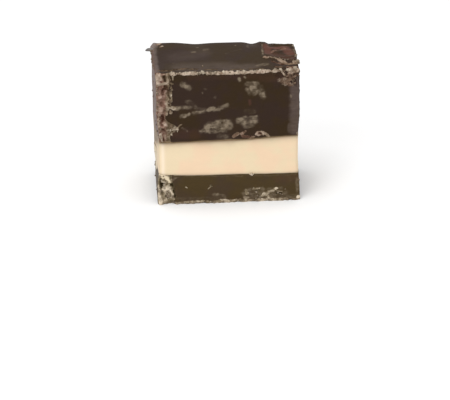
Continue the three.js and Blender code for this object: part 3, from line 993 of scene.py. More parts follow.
@dataclass
class Marks:
    """What a skin's finish reads at each of its points, all from 0 to about 1.

    torn is fresh broken fudge, shade how pale it is, its low end painted shade in the dark gaps
    of torn places, red how reddish and high how far its grains stand out. film is smeared fudge.
    Then come a paler greyer place, partly dull and partly painted sheen, and on the pale layer the
    painted highlight along its rounded left edge; a redder tint of the cut face, which on the top
    layer's left side is painted sheen too; and what one layer smudged on the next, with painted
    shade on the pale layer's left side.
    """

    torn: Array
    shade: Array
    red: Array
    high: Array
    film: Array
    rubbed: Array
    ruddy: Array
    smudge: Array


@dataclass(frozen=True)
class Wear:
    """Marks and fine relief of the skins, worked out from the form and the listed strokes."""

    form: SliceForm
    coarse_grain: float = 1.5
    fine_grain: float = 0.7
    coarse_share: float = 0.55
    fine_share: float = 0.45
    patch_size: float = 1.3
    patch_shade: float = 0.16
    patch_red: float = 0.2
    tone_swing: float = 0.22
    # Painted highlight along the pale layer's rounded left edge: where it lies from the left end, how far
    # it reaches and how strong it is.
    edge_highlight: Bell = Bell(1.2, 0.65, 0.8)
    stray_size: float = 1.0
    coarse_stray_size: float = 2.6
    ragged: float = 0.28
    edge_red: float = 0.35
    band_edge: float = 0.4
    side_band: tuple[float, float] = (1.3, 0.5)
    film_patches: tuple[float, float, float] = (0.85, 0.5, 1.3)
    red_level: float = 0.8
    red_band: tuple[float, float] = (2.6, 0.9)
    plain_shade: float = 0.46
    base_shade: float = 0.5
    torn_level: float = 0.55
    torn_height: float = 0.8
    grain_height: float = 0.3
    film_height: float = 0.06
    seam_wander: tuple[float, float] = (0.35, 5.0)
    top_seam: float = 0.85
    base_seam: float = 0.4
    base_seam_level: float = 0.7
    cut_size: float = 1.6
    cut_height: float = 0.02
    # Knife smears over the left sides, on the pale layer partly painted shade: strength, less and ragged
    # for each layer, then the wedge's slope, least cover, softness and streaks.
    cream_drawn: tuple[float, float, float] = (1.15, 0.0, 2.0)
    base_drawn: tuple[float, float, float] = (0.8, 3.0, 4.0)
    wedge_slope: float = 0.47
    least_smear_and_shade: float = 0.17
    wedge_softness: float = 2.2
    drawn_size: float = 1.5
    wedge_streak_stretch: tuple[float, float, float] = (1.0, 0.16, 1.0)

    def marks(self, layer: Layer, points: Array, normals: Array) -> Marks:
        """Marks of a layer's skin.

        Args:
            layer: the layer.
            points: skin points in millimetres, shape (n, 3).
            normals: unit normals, shape (n, 3).

        Returns:
            The marks at each point.
        """
        coarse, tone = grains(points, self.coarse_grain, Seed.COARSE_GRAINS)
        fine, fine_tone = grains(points, self.fine_grain, Seed.FINE_GRAINS)
        high = self.coarse_share * coarse + self.fine_share * fine
        patchy = soft_noise(points, self.patch_size, Seed.PATCHES)
        blank = np.zeros(len(points))
        if layer is Layer.CREAM:
            # A paler strip along the rounded left edge: painted highlight.
            edge_highlight = self.edge_highlight(points[:, 0] - self.form.left)
            # The left side darkened by knife smears and painted shade.
            strength, less, ragged = self.cream_drawn
            drawn = strength * self.drawn(layer, points, normals, less, ragged)
            smudge = np.maximum(self.seams(points), drawn)
            return Marks(blank, blank, blank, high, blank, edge_highlight, blank, smudge)
        wear = TOP_WEAR if layer is Layer.TOP else BASE_WEAR
        stray = soft_shift(points, self.stray_size, Seed.STRAY)
        coarse_stray = soft_shift(points, self.coarse_stray_size, Seed.COARSE_STRAY)
        strayed = points + self.ragged * stray
        torn, shade, red = self.tears(layer, wear.torn, strayed, normals)
        edge, edge_shade = self.edges(layer, points, normals)
        shade = np.where(edge > torn, edge_shade, shade)
        red = np.where(edge > torn, self.edge_red, red)
        torn = np.maximum(torn, edge)
        film = self.strongest(wear.films, strayed + 0.5 * self.ragged * coarse_stray, normals)
        smudge = np.maximum(self.strongest(wear.cream, strayed, normals), self.seams(points))
        if layer is Layer.BASE:
            strength, less, ragged = self.base_drawn
            smudge = np.maximum(smudge, strength * self.drawn(layer, points, normals, less, ragged))
        plain, swing, most = self.film_patches
        return Marks(
            torn=torn,
            shade=shade + self.tone_swing * (tone + fine_tone - 1.0) + self.patch_shade * patchy,
            red=np.clip(red + self.patch_red * patchy, 0.0, 1.0),
            high=high,
            film=film * np.clip(plain + swing * patchy, 0.0, most),
            rubbed=self.strongest(wear.rubbed, strayed, normals),
            ruddy=self.strongest(wear.ruddy, strayed, normals),
            smudge=smudge,
        )

    @staticmethod
    def strongest(strokes: Strokes, points: Array, normals: Array) -> Array:
        """The strongest level of a layer's strokes at each skin point.

        Args:
            strokes: the strokes of each side.
            points, normals: the skin, shape (n, 3).

        Returns:
            Levels from 0, shape (n,).
        """
        level = np.zeros(len(points))
        for side, rows in strokes.items():
            facing = side.facing(normals)
            near = facing > 0.0
            _, _, across, up = side.value
            for stroke in rows:
                cover = stroke.level * stroke.cover(points[near, across], points[near, up])
                level[near] = np.maximum(level[near], cover * facing[near])
        return level

    def tears(self, layer: Layer, strokes: Strokes, points: Array, normals: Array) -> tuple[Array, ...]:
        """Torn places: the band or column at the front left, then the strokes over it in turn.

        Args:
            layer: the layer.
            strokes: the layer's torn strokes.
            points, normals: the skin, shape (n, 3).

        Returns:
            How torn, how pale and how reddish each point is.
        """
        form = self.form
        x, y, z = points.T
        from_edge = x - form.left
        front, side = Side.FRONT.facing(normals), Side.LEFT.facing(normals)
        torn = front * inside(from_edge, form.tear_width(layer, z) - self.band_edge, self.band_edge)
        torn = np.maximum(torn, side * inside(y - form.front, *self.side_band))
        red = self.red_level * inside(from_edge, *self.red_band) if layer is Layer.TOP else np.zeros_like(x)
        shade = np.full_like(x, self.plain_shade if layer is Layer.TOP else self.base_shade)
        for face, rows in strokes.items():
            facing = face.facing(normals)
            _, _, across, up = face.value
            for stroke in rows:
                cover = stroke.cover(points[:, across], points[:, up]) * facing
                shade = lerp(shade, stroke.level, cover)
                red = lerp(red, stroke.red, cover)
                torn = np.maximum(torn, cover)
        return torn, shade, red

    def edges(self, layer: Layer, points: Array, normals: Array) -> tuple[Array, Array]:
        """Crumbly edges: the top ridge, the crumbled corner and the lip at the left, or the burr.

        Args:
            layer: the layer.
            points, normals: the skin, shape (n, 3).

        Returns:
            How torn and how pale each point is.
        """
        form = self.form
        x, y, z = points.T
        front, top = Side.FRONT.facing(normals), Side.TOP.facing(normals)
        uneven = soft_noise(points, 1.8, Seed.UNEVEN_EDGES, 2)
        if layer is Layer.BASE:
            width = 0.95 + 0.35 * uneven
            return inside(z, width, 0.3) * (normals[:, 1] < -0.3), 0.48 + 0.26 * uneven
        below, behind = form.plain_top(x, y) - z, y - form.front
        from_edge = np.where(front > top, below, 0.8 * behind)
        ridge = form.ridge_begun(x) * inside(from_edge, 0.35 + 0.3 * uneven, 0.25) * (behind < 3.0)
        crumbled = form.crumbled(x, y, z) * smoothstep(uneven, -0.2, 0.3)
        lip = 0.5 * top * bump(x - form.left + 0.6, 0.5) * smoothstep(uneven, -0.3, 0.5)
        torn = np.maximum.reduce([ridge, 0.55 * crumbled, lip])
        return torn, np.where(ridge > crumbled, 0.7, 0.46) + 0.2 * uneven

    def seams(self, points: Array) -> Array:
        """Smudge at the boundaries of the pale layer, widest under the thick dark layer.

        Args:
            points: skin points, shape (n, 3).

        Returns:
            e to the power of minus the distance over a reach that wanders, shape (n,).
        """
        x, y, z = points.T
        base, cream = self.form.levels(Layer.CREAM, x, y)
        swing, size = self.seam_wander
        wander = 1.0 + swing * soft_noise(points, size, Seed.SEAMS)
        under = np.exp(-np.abs(cream - z) / (self.top_seam * wander))
        over = self.base_seam_level * np.exp(-np.abs(z - base) / (self.base_seam * wander))
        return np.maximum(under, over)

    def drawn(self, layer: Layer, points: Array, normals: Array, less: float, ragged: float) -> Array:
        """Streaks of the layer above that the knife drew over a layer's left side, with painted shade on
        the pale layer's side.

        They reach down by a slope times the way behind the front face, less a length, and cover at
        least a least share all over that side, which on the pale layer paints it darker as painted shade.

        Args:
            layer: the layer.
            points, normals: the skin, shape (n, 3).
            less: that length.
            ragged: how much further or less far single streaks reach.

        Returns:
            How covered each point is, from 0 to 1.
        """
        x, y, z = points.T
        _, top = self.form.levels(layer, x, y)
        streaks = soft_noise(points * self.wedge_streak_stretch, self.drawn_size, Seed.DRAWN_STREAKS)
        reach = self.wedge_slope * (y - self.form.front) - (top - z) - less + ragged * streaks
        covered = lerp(self.least_smear_and_shade, 1.0, smoothstep(reach, -self.wedge_softness, self.wedge_softness))
        return smoothstep(-normals[:, 0], 0.75, 0.95) * covered

    def fine_relief(self, marks: Marks, points: Array) -> Array:
        """How far the skin stands out beyond its form.

        Torn places stand out where they are pale and lie deep where they are dark, and rise and
        fall with their grains. Films lie a little proud, and a low noise roughens the rest.

        Args:
            marks: the marks of the skin.
            points: skin points, shape (n, 3).

        Returns:
            Heights in millimetres, shape (n,).
        """
        pale = self.torn_height * (np.clip(marks.shade, 0.0, 1.0) - self.torn_level)
        rough = marks.torn * (pale + self.grain_height * (marks.high - 0.5))
        smeared = self.film_height * np.maximum(marks.film, marks.smudge)
        return rough + smeared + self.cut_height * soft_noise(points, self.cut_size, Seed.CUT_FACES)


# ---- Meshes --------------------------------------------------------------------------------------


def write_mesh(name: str, points: Array, faces: Array, marks: Mapping[str, Array]) -> bpy.types.Object:
    """A smooth mesh object at the origin, with one number attribute for each mark.

    Args:
        name: the piece's name.
        points: vertices in millimetres, shape (n, 3).
        faces: vertex numbers of the four-sided faces, shape (m, 4).
        marks: values for each vertex by attribute name.

    Returns:
        The object, linked into the scene.
    """
    mesh = bpy.data.meshes.new(name)
    mesh.from_pydata((points * MM).tolist(), [], faces.tolist())
    for mark, values in marks.items():
        attribute = mesh.attributes.new(mark, "FLOAT", "POINT")
        attribute.data.foreach_set("value", np.ascontiguousarray(values, dtype=np.float32))
    mesh.polygons.foreach_set("use_smooth", np.ones(len(faces), dtype=bool))
    mesh.validate()
    mesh.update()
    piece = bpy.data.objects.new(name, mesh)
    bpy.context.scene.collection.objects.link(piece)
    return piece


def dress(piece: bpy.types.Object, layer: Layer, material: bpy.types.Material) -> None:
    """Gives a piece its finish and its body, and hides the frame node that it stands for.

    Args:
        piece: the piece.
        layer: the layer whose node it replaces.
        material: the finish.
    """
    piece.data.materials.append(material)
    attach(piece, BODY)
    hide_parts(layer.value)
    LOG.info("%s: %d points, %d faces", piece.name, len(piece.data.vertices), len(piece.data.polygons))


def grid_faces(numbers: Array, upwards: bool) -> Array:
    """Four-sided faces of a grid of point numbers, shape (m, 4), turned over if not upwards."""
    quads = [numbers[:-1, :-1], numbers[1:, :-1], numbers[1:, 1:], numbers[:-1, 1:]]
    ordered = quads if upwards else quads[::-1]
    return np.stack([corner.ravel() for corner in ordered], axis=1)


def stretch_lines(stops: tuple[tuple[float, float], ...]) -> Array:
    """Lattice lines from stops of place and spacing.

    Each stretch between two stops is cut evenly, at the mean of their spacings.

    Args:
        stops: pairs of a place and the spacing of the lines there, in rising order.

    Returns:
        The places of the lines, from the first stop to the last.
    """
    lines = [np.array([stops[0][0]])]
    for (start, step_in), (end, step_out) in itertools.pairwise(stops):
        count = max(1, round((end - start) * 2.0 / (step_in + step_out)))
        lines.append(np.linspace(start, end, count + 1)[1:])
    return np.concatenate(lines)


@dataclass
class LayerSkin:
    """The skin of one layer: the outside of a box of lattice lines, bent to the layer's form.

    across holds the lattice lines in millimetres from the left end. depths and heights hold
    theirs in millimetres too, which become shares of the layer's own depth and height.
    """

    layer: Layer
    slot: str
    wear: Wear
    across: tuple[tuple[float, float], ...]
    depths: tuple[tuple[float, float], ...]
    heights: tuple[tuple[float, float], ...]

    def build(self, material: bpy.types.Material) -> None:
        """Builds and dresses the skin, in place of the layer's frame node.

        Args:
            material: the finish.
        """
        shares = [line / line[-1] for line in map(stretch_lines, (self.across, self.depths, self.heights))]
        cells, faces = self.lattice(tuple(len(line) for line in shares))
        across, depth, height = (line[cells[:, axis]] for axis, line in enumerate(shares))
        form = self.wear.form
        points, normals = form.place(self.layer, lerp(form.left, form.right, across), depth, height)
        marks = self.wear.marks(self.layer, points, normals)
        skin = points + normals * self.wear.fine_relief(marks, points)[:, None]
        skin[:, 2] = np.where(height == 0.0, points[:, 2], skin[:, 2])
        values = {item.name: getattr(marks, item.name) for item in fields(marks)}
        dress(write_mesh(f"{self.layer.value}_skin", skin, faces, values), self.layer, material)

    @staticmethod
    def lattice(size: tuple[int, int, int]) -> tuple[Array, Array]:
        """Points and faces on the outside of a box of lattice points.

        Args:
            size: how many lattice lines there are along each axis.

        Returns:
            Lattice places of the points, shape (n, 3), and the faces' point numbers in an
            order that makes them look outwards, shape (m, 4).
        """
        outer = np.zeros(size, dtype=bool)
        outer[[0, -1]] = True
        outer[:, [0, -1]] = True
        outer[:, :, [0, -1]] = True
        numbers = (np.cumsum(outer.ravel()) - 1).reshape(size)
        faces = []
        for fixed in range(3):
            for end in (0, -1):
                side = np.take(numbers, end, axis=fixed)
                faces.append(grid_faces(side, (end == -1) != (fixed == 1)))
        return np.argwhere(outer), np.concatenate(faces)


class Crumbs(Enum):
    """Pieces made of loose crumbs: their names and the layer that they stick to."""

    TOP = ("top_layer_crumbs", Layer.TOP, "top_fudge")
    BASE = ("base_layer_crumbs", Layer.BASE, "base_fudge")


@dataclass(frozen=True)
class Scatter:
    """Crumbs strewn along a line on a side.

    start and end are places across and up the side, spread is how far crumbs stray from the
    line, size is the smallest and largest width, and tone runs from 0, dark, to 1, pale.
    """

    piece: Crumbs
    side: Side
    start: tuple[float, float]
    end: tuple[float, float]
    spread: tuple[float, float]
    count: int
    size: tuple[float, float] = (0.4, 0.9)
    tone: tuple[float, float] = (0.4, 0.9)


def lone(piece: Crumbs, side: Side, across: float, up: float, size: float, tone: float) -> Scatter:
    """One crumb at a place."""
    return Scatter(piece, side, (across, up), (across, up), (0.0, 0.0), 1, (size, size), (tone, tone))


# Peaks of the crumb ridge along the front top edge: place, width and tone.
RIDGE_PEAKS = (
    (-20.3, 1.0, 0.75), (-17.4, 0.8, 0.7), (-15.2, 1.0, 0.85), (-12.9, 0.9, 0.75), (-10.2, 1.0, 0.7),
    (-9.2, 1.7, 0.8), (-6.6, 0.8, 0.75), (-4.7, 0.9, 0.9), (-1.9, 1.0, 0.95), (0.4, 0.9, 0.9),
    (3.0, 1.0, 0.95), (5.4, 1.2, 0.85), (7.6, 0.9, 0.8), (9.2, 0.8, 0.8), (11.0, 1.1, 0.9),
    (13.6, 0.9, 0.75), (16.3, 0.9, 0.65), (18.3, 1.2, 0.9), (20.7, 1.0, 1.0), (23.6, 1.3, 0.7),
)
SCATTERS = (
    *(lone(Crumbs.TOP, Side.TOP, x, -13.75, size, tone) for x, size, tone in RIDGE_PEAKS),
    lone(Crumbs.TOP, Side.TOP, -8.9, -7.4, 0.7, 0.5),
    Scatter(Crumbs.TOP, Side.TOP, (-20.8, -13.9), (22.5, -13.9), (0.3, 0.2), 60, (0.4, 0.8), (0.45, 0.85)),
    Scatter(Crumbs.TOP, Side.FRONT, (-20.6, 50.2), (22.5, 50.3), (0.3, 0.15), 40, (0.35, 0.6), (0.4, 0.8)),
    Scatter(Crumbs.TOP, Side.FRONT, (18.6, 48.8), (24.6, 46.8), (0.7, 1.2), 12, (0.35, 0.7), (0.3, 0.55)),
    Scatter(Crumbs.TOP, Side.FRONT, (-24.9, 26.0), (-24.9, 49.4), (0.3, 0.6), 22, (0.4, 1.0), (0.4, 0.75)),
    Scatter(Crumbs.TOP, Side.FRONT, (-21.4, 35.0), (-20.6, 44.0), (0.4, 0.6), 14, (0.4, 0.9), (0.35, 0.7)),
    Scatter(Crumbs.TOP, Side.FRONT, (-21.6, 29.0), (-18.6, 28.6), (0.5, 0.4), 12, (0.4, 0.9), (0.4, 0.9)),
    Scatter(Crumbs.TOP, Side.TOP, (13.4, -1.5), (24.9, -7.9), (0.4, 0.4), 16, (0.4, 0.8), (0.3, 0.6)),
    Scatter(Crumbs.TOP, Side.TOP, (25.0, -7.6), (25.4, -4.6), (0.1, 0.3), 6, (0.8, 1.5), (0.5, 0.7)),
    Scatter(Crumbs.TOP, Side.TOP, (24.8, -3.0), (24.7, 10.6), (0.15, 0.5), 12, (0.4, 0.9), (0.4, 0.7)),
    Scatter(Crumbs.TOP, Side.TOP, (-25.6, -12.0), (-25.4, 13.6), (0.3, 0.5), 14, (0.4, 0.8), (0.35, 0.6)),
    Scatter(Crumbs.TOP, Side.LEFT, (-12.0, 28.0), (12.0, 46.0), (2.0, 5.0), 12, (0.4, 0.8), (0.2, 0.6)),
    Scatter(Crumbs.TOP, Side.RIGHT, (-12.0, 44.0), (10.0, 30.0), (2.0, 5.0), 14, (0.4, 0.8), (0.2, 0.6)),
    Scatter(Crumbs.TOP, Side.BACK, (-22.0, 34.0), (22.0, 40.0), (2.0, 6.0), 22, (0.4, 0.8), (0.2, 0.6)),
    Scatter(Crumbs.BASE, Side.FRONT, (-24.0, 9.6), (-21.6, 2.0), (0.8, 0.9), 22, (0.4, 1.1), (0.5, 0.95)),
    Scatter(Crumbs.BASE, Side.FRONT, (-24.6, 0.4), (24.6, 0.4), (0.2, 0.12), 50, (0.35, 0.7), (0.45, 0.8)),
    Scatter(Crumbs.BASE, Side.FRONT, (9.0, 2.0), (18.0, 3.6), (0.9, 0.8), 12, (0.35, 0.75), (0.4, 0.8)),
    lone(Crumbs.BASE, Side.FRONT, 7.7, 10.7, 1.2, 1.0),
    Scatter(Crumbs.BASE, Side.LEFT, (-12.0, 2.0), (12.0, 8.0), (2.0, 2.0), 8, (0.4, 0.8), (0.2, 0.7)),
    Scatter(Crumbs.BASE, Side.RIGHT, (-12.0, 8.0), (10.0, 2.0), (2.0, 2.0), 8, (0.4, 0.8), (0.2, 0.7)),
    Scatter(Crumbs.BASE, Side.BACK, (-22.0, 2.0), (22.0, 7.0), (2.0, 2.0), 14, (0.4, 0.8), (0.2, 0.7)),
)


@dataclass
class CrumbPiece:
    """All loose crumbs of a layer, as one mesh of small rough balls."""

    kind: Crumbs
    form: SliceForm
    around: int = 8
    rings: int = 5
    roughness: float = 0.3
    sink: float = 0.3

    def build(self, material: bpy.types.Material, seed: int) -> None:
        """Builds and dresses the crumbs.

        Each ball is a unit ball whose radius varies by its roughness at each vertex. It is
        stretched, turned and set on the skin, sunk by a share of its width.

        Args:
            material: the finish.
            seed: picks the sizes, places and turns.
        """
        name, layer, slot = self.kind.value
        draws = np.random.default_rng(seed)
        placed = [self.strew(scatter, draws) for scatter in SCATTERS if scatter.piece is self.kind]
        centres, widths, tones = (np.concatenate(part) for part in zip(*placed))
        ball, faces = self.unit_ball()
        count = len(centres)
        radius = 1.0 + self.roughness * draws.uniform(-1.0, 1.0, (count, len(ball)))
        stretch = draws.uniform(0.7, 1.3, (count, 1, 3))
        shapes = ball[None] * radius[:, :, None] * stretch * 0.5 * widths[:, None, None]
        points = np.einsum("nij,nvj->nvi", self.turns(draws, count), shapes) + centres[:, None]
        points = points.reshape(-1, 3)
        points[:, 2] = np.maximum(points[:, 2], 0.0)
        offsets = np.arange(count)[:, None, None] * len(ball)
        marks = {"tone": np.repeat(tones, len(ball))}
        dress(write_mesh(name, points, (faces[None] + offsets).reshape(-1, 4), marks), layer, material)

    def strew(self, scatter: Scatter, draws: np.random.Generator) -> tuple[Array, Array, Array]:
        """Places the crumbs of one scatter.

        Args:
            scatter: where they lie.
            draws: random numbers.

        Returns:
            Centres, shape (n, 3), widths and tones, each of shape (n,).
        """
        share = draws.uniform(0.0, 1.0, (scatter.count, 1))
        strays = draws.normal(0.0, 1.0, (scatter.count, 2)) * np.array(scatter.spread)
        spots = lerp(np.array(scatter.start), np.array(scatter.end), share) + strays
        across = np.clip(spots[:, 0], self.form.left, self.form.right)
        points, normals = self.form.on_side(self.kind.value[1], scatter.side, across, spots[:, 1])
        widths = lerp(*scatter.size, draws.power(0.6, scatter.count))
        centres = points + normals * ((0.5 - self.sink) * widths)[:, None]
        return centres, widths, draws.uniform(*scatter.tone, scatter.count)

    def unit_ball(self) -> tuple[Array, Array]:
        """A ball of radius 1, as rings of radius sin a at height cos a, closed at both poles."""
        polar = np.linspace(0.84, 0.16, self.rings) * math.pi
        turn = np.arange(self.around) * 2.0 * math.pi / self.around
        ring, step = np.meshgrid(polar, turn, indexing="ij")
        points = np.stack([np.sin(ring) * np.cos(step), np.sin(ring) * np.sin(step), np.cos(ring)], -1)
        return points.reshape(-1, 3), tube_faces(self.rings, self.around)

    @staticmethod
    def turns(draws: np.random.Generator, count: int) -> Array:
        """Random turns as matrices, worked out from random unit quaternions (w, x, y, z)."""
        quaternion = draws.normal(size=(count, 4))
        w, x, y, z = (quaternion / np.linalg.norm(quaternion, axis=1, keepdims=True)).T
        rows = [
            [1 - 2 * (y * y + z * z), 2 * (x * y - z * w), 2 * (x * z + y * w)],
            [2 * (x * y + z * w), 1 - 2 * (x * x + z * z), 2 * (y * z - x * w)],
            [2 * (x * z - y * w), 2 * (y * z + x * w), 1 - 2 * (x * x + y * y)],
        ]
        return np.moveaxis(np.array(rows), -1, 0)


def tube_faces(rows: int, around: int) -> Array:
    """Faces of a closed tube of rings that turn to the left about the way they are stacked.

    Args:
        rows: how many rings there are.
        around: how many points a ring has.

    Returns:
        Point numbers of the four-sided faces, looking outwards, shape (m, 4).
    """
    numbers = np.arange(rows * around).reshape(rows, around)
    ahead = np.roll(numbers, -1, axis=1)
    walls = np.stack([numbers[:-1], ahead[:-1], ahead[1:], numbers[1:]], axis=-1).reshape(-1, 4)
    step = np.arange(around // 2 - 1)
    strips = np.stack([step, step + 1, around - 2 - step, around - 1 - step], axis=-1)
    return np.concatenate([walls, numbers[0][strips[:, ::-1]], numbers[-1][strips]])


@dataclass
class EdgeCurl:
    """The thin curl of fudge that hangs on the left edge near the back of the top face."""

    root: tuple[float, float, float] = (-25.2, 9.4, 50.3)
    length: float = 3.3
    width: float = 1.9
    thickness: float = 1.1
    tilt: float = 2.0
    droop: float = 0.3
    rough: float = 0.15
    rough_size: float = 0.8
    rows: int = 28
    around: int = 20

    def build(self, material: bpy.types.Material) -> None:
        """Builds and dresses the curl.

        Along its length, share t from 0 at the slice to 1 at the tip, the section is an oval
        whose width is the full width times the root of sin, and which sinks by droop times
        t squared. Noise roughens it.

        Args:
            material: the finish.
        """
        share, turn = np.meshgrid(
            np.linspace(0.0, 1.0, self.rows),
            np.arange(self.around) * -2.0 * math.pi / self.around,
            indexing="ij",
        )
        swell = np.sqrt(np.clip(np.sin(math.pi * (0.04 + 0.93 * share)), 0.0, 1.0))
        across = 0.5 * self.width * swell * np.cos(turn)
        up = 0.5 * self.thickness * swell * np.sin(turn) - self.droop * share**2 + 0.25 * np.abs(across)
        points = np.stack([-self.length * share, across, up], axis=-1).reshape(-1, 3)
        points += self.rough * soft_shift(points, self.rough_size, Seed.CURL_SHAPE)
        tilt = np.array(Matrix.Rotation(math.radians(self.tilt), 3, "Y"))
        points = points @ tilt.T + np.array(self.root)
        tone = 0.5 + 0.15 * soft_noise(points, 0.9, Seed.CURL_TONE)
        piece = write_mesh("edge_curl", points, tube_faces(self.rows, self.around), {"tone": tone})
        dress(piece, Layer.TOP, material)


# ---- Finishes ------------------------------------------------------------------------------------


class Field:
    """A number or colour that varies over a surface: an output socket used in expressions."""

    def __init__(self, sketch: "Sketch", socket: bpy.types.NodeSocket) -> None:
        """Wraps a socket of the sketch's tree."""
        self.sketch = sketch
        self.socket = socket

    def _with(self, operation: str, first: object, second: object) -> "Field":
        """The Math node that works on two values."""
        return self.sketch.add("ShaderNodeMath", {"operation": operation}, {0: first, 1: second})

    def __add__(self, other: object) -> "Field":
        """This plus another value."""
        return self._with("ADD", self, other)

    def __sub__(self, other: object) -> "Field":
        """This less another value."""
        return self._with("SUBTRACT", self, other)

    def __rsub__(self, other: object) -> "Field":
        """Another value less this."""
        return self._with("SUBTRACT", other, self)

    def __mul__(self, other: object) -> "Field":
        """This times another value."""
        return self._with("MULTIPLY", self, other)

    __radd__ = __add__
    __rmul__ = __mul__

    def most(self, other: object) -> "Field":
        """The larger of this and another value."""
        return self._with("MAXIMUM", self, other)

    def swing(self, width: float) -> "Field":
        """Noise from 0 to 1 turned into a value about 0 that spans a width."""
        return (self - 0.5) * width

    def step(self, low: float, high: float) -> "Field":
        """0 below low, 1 above high and a smooth rise between them."""
        settings = {"interpolation_type": "SMOOTHSTEP"}
        values = {"Value": self, "From Min": low, "From Max": high}
        return self.sketch.add("ShaderNodeMapRange", settings, values)


class Sketch:
    """A material's node tree, with one Principled shader on its output."""

    def __init__(self, name: str) -> None:
        """Makes an empty material with its shader."""
        self.material = bpy.data.materials.new(name)
        self.material.use_nodes = True
        self.tree = self.material.node_tree
        self.tree.nodes.clear()
        self.shader = self.tree.nodes.new("ShaderNodeBsdfPrincipled")
        output = self.tree.nodes.new("ShaderNodeOutputMaterial")
        self.tree.links.new(self.shader.outputs["BSDF"], output.inputs["Surface"])

    def feed(self, socket: bpy.types.NodeSocket, value: object) -> None:
        """Links a field to a socket, or sets the socket to a plain value.

        Args:
            socket: the input socket.
            value: a field, a number or a tuple, to which a colour socket adds its alpha.
        """
        if isinstance(value, Field):
            self.tree.links.new(value.socket, socket)
        elif isinstance(value, tuple) and len(value) < len(socket.default_value):
            socket.default_value = (*value, 1.0)
        else:
            socket.default_value = value

    def add(self, kind: str, settings: Mapping[str, object], values: Mapping, output: object = 0) -> Field:
        """Adds a node.

        Args:
            kind: the node's type.
            settings: its own settings, which are set first.
            values: values or fields of its sockets, by name or number.
            output: name or number of the output to give back.

        Returns:
            The output as a field.
        """
        node = self.tree.nodes.new(kind)
        for setting, value in settings.items():
            setattr(node, setting, value)
        for socket, value in values.items():
            self.feed(node.inputs[socket], value)
        return Field(self, node.outputs[output])

    def mark(self, name: str) -> Field:
        """One of the numbers that the mesh carries at its points."""
        return self.add("ShaderNodeAttribute", {"attribute_name": name}, {}, "Fac")

    def millimetres(self, stretch: tuple[float, float, float] = (1.0, 1.0, 1.0)) -> Field:
        """Object coordinates in millimetres, each axis times a stretch."""
        place = self.add("ShaderNodeTexCoord", {}, {}, "Object")
        scale = tuple(share / MM for share in stretch)
        return self.add("ShaderNodeMapping", {}, {"Vector": place, "Scale": scale})

    def noise(self, place: Field, size: float, detail: float = 3.0, rough: float = 0.5) -> Field:
        """Noise from 0 to 1 with blotches of a size in millimetres."""
        values = {"Vector": place, "Scale": 1.0 / size, "Detail": detail, "Roughness": rough}
        return self.add("ShaderNodeTexNoise", {}, values, "Fac")

    def mix(self, share: object, first: object, second: object) -> Field:
        """Colour at a share of the way from one colour to another."""
        settings = {"data_type": "RGBA", "clamp_factor": True}
        return self.add("ShaderNodeMix", settings, {0: share, 6: first, 7: second}, 2)

    def ramp(self, value: Field, colours: tuple[Colour, Colour, Colour]) -> Field:
        """Colour from the first at 0 through the second at one half to the third at 1."""
        low, middle, high = colours
        return self.mix(value * 2.0 - 1.0, self.mix(value * 2.0, low, middle), high)

    def shade(self, colour: Field, gain: Field) -> Field:
        """Colour times a number."""
        return self.add("ShaderNodeVectorMath", {"operation": "SCALE"}, {0: colour, 3: gain})

    def relief(self, height: Field, distance: float) -> Field:
        """Normal of a bump map whose heights from 0 to 1 span a distance in millimetres."""
        return self.add("ShaderNodeBump", {}, {"Height": height, "Distance": distance * MM})

    def finish(self, **values: object) -> bpy.types.Material:
        """Feeds the shader's sockets, named with _ for spaces, and gives back the material."""
        for socket, value in values.items():
            self.feed(self.shader.inputs[socket.replace("_", " ")], value)
        return self.material


@dataclass(frozen=True)
class DarkFudgeFinish:
    """Dark fudge: smooth where the knife went, crumbly, paler or redder where it tore.

    olive_tear and red_tear are the colours of a torn place from its gaps, their darkness painted shade, to
    its dry crumbs.
    """

    name: str
    plum: Colour
    olive: Colour
    film: Colour
    rubbed: Colour
    chestnut: Colour
    olive_tear: tuple[Colour, Colour, Colour]
    red_tear: tuple[Colour, Colour, Colour]
    cream: Colour
    mottle_size: float = 9.0
    speckle_size: float = 0.8
    streak_size: float = 0.8
    streak_stretch: tuple[float, float, float] = (0.25, 0.25, 1.0)
    fleck_size: float = 0.35
    gloss: float = 0.05
    gloss_tint: Colour = (1.0, 0.88, 0.8)

    def build(self) -> bpy.types.Material:
        """The material of a dark layer's skin."""
        sketch = Sketch(self.name)
        place = sketch.millimetres()
        mottle = sketch.noise(place, self.mottle_size, 4.0)
        speckle = sketch.noise(place, self.speckle_size, 3.0, 0.6)
        streaks = sketch.noise(sketch.millimetres(self.streak_stretch), self.streak_size, 3.0, 0.6)
        flecks = sketch.noise(place, self.fleck_size, 2.0)
        cut = sketch.mix(mottle.step(0.4, 0.6), self.plum, self.olive)
        # Redder tint of the cut face, which on the top layer's left side is painted sheen.
        cut = sketch.mix(sketch.mark("ruddy"), cut, self.chestnut)
        # Paler greyer places, partly dull and partly painted sheen.
        cut = sketch.mix(sketch.mark("rubbed") * (0.8 + streaks.swing(0.8)), cut, self.rubbed)
        cut = sketch.shade(cut, 1.0 + speckle.swing(0.16) + streaks.swing(0.16))
        film = sketch.mark("film")
        film = film * film * (1.0 + streaks.swing(3.0) + speckle.swing(1.8))
        colour = sketch.mix(film, cut, self.film)
        torn = (sketch.mark("torn") + flecks.swing(0.5)).step(0.35, 0.65)
        shade = sketch.mark("shade") + flecks.swing(0.5)
        broken = sketch.mix(
            sketch.mark("red"), sketch.ramp(shade, self.olive_tear), sketch.ramp(shade, self.red_tear)
        )
        colour = sketch.mix(torn, colour, broken)
        smudge = sketch.mark("smudge") + streaks.swing(0.3)
        colour = sketch.mix(smudge.step(0.35, 1.0), colour, self.cream)
        dry = torn.most(film)
        height = streaks * 0.2 + speckle * 0.15 + film * 0.4 + dry * flecks * 0.9
        return sketch.finish(
            Base_Color=colour,
            Roughness=0.45 + dry * 0.3 + speckle.swing(0.15),
            Specular_IOR_Level=self.gloss,
            Specular_Tint=self.gloss_tint,
            Normal=sketch.relief(height, 0.1),
        )


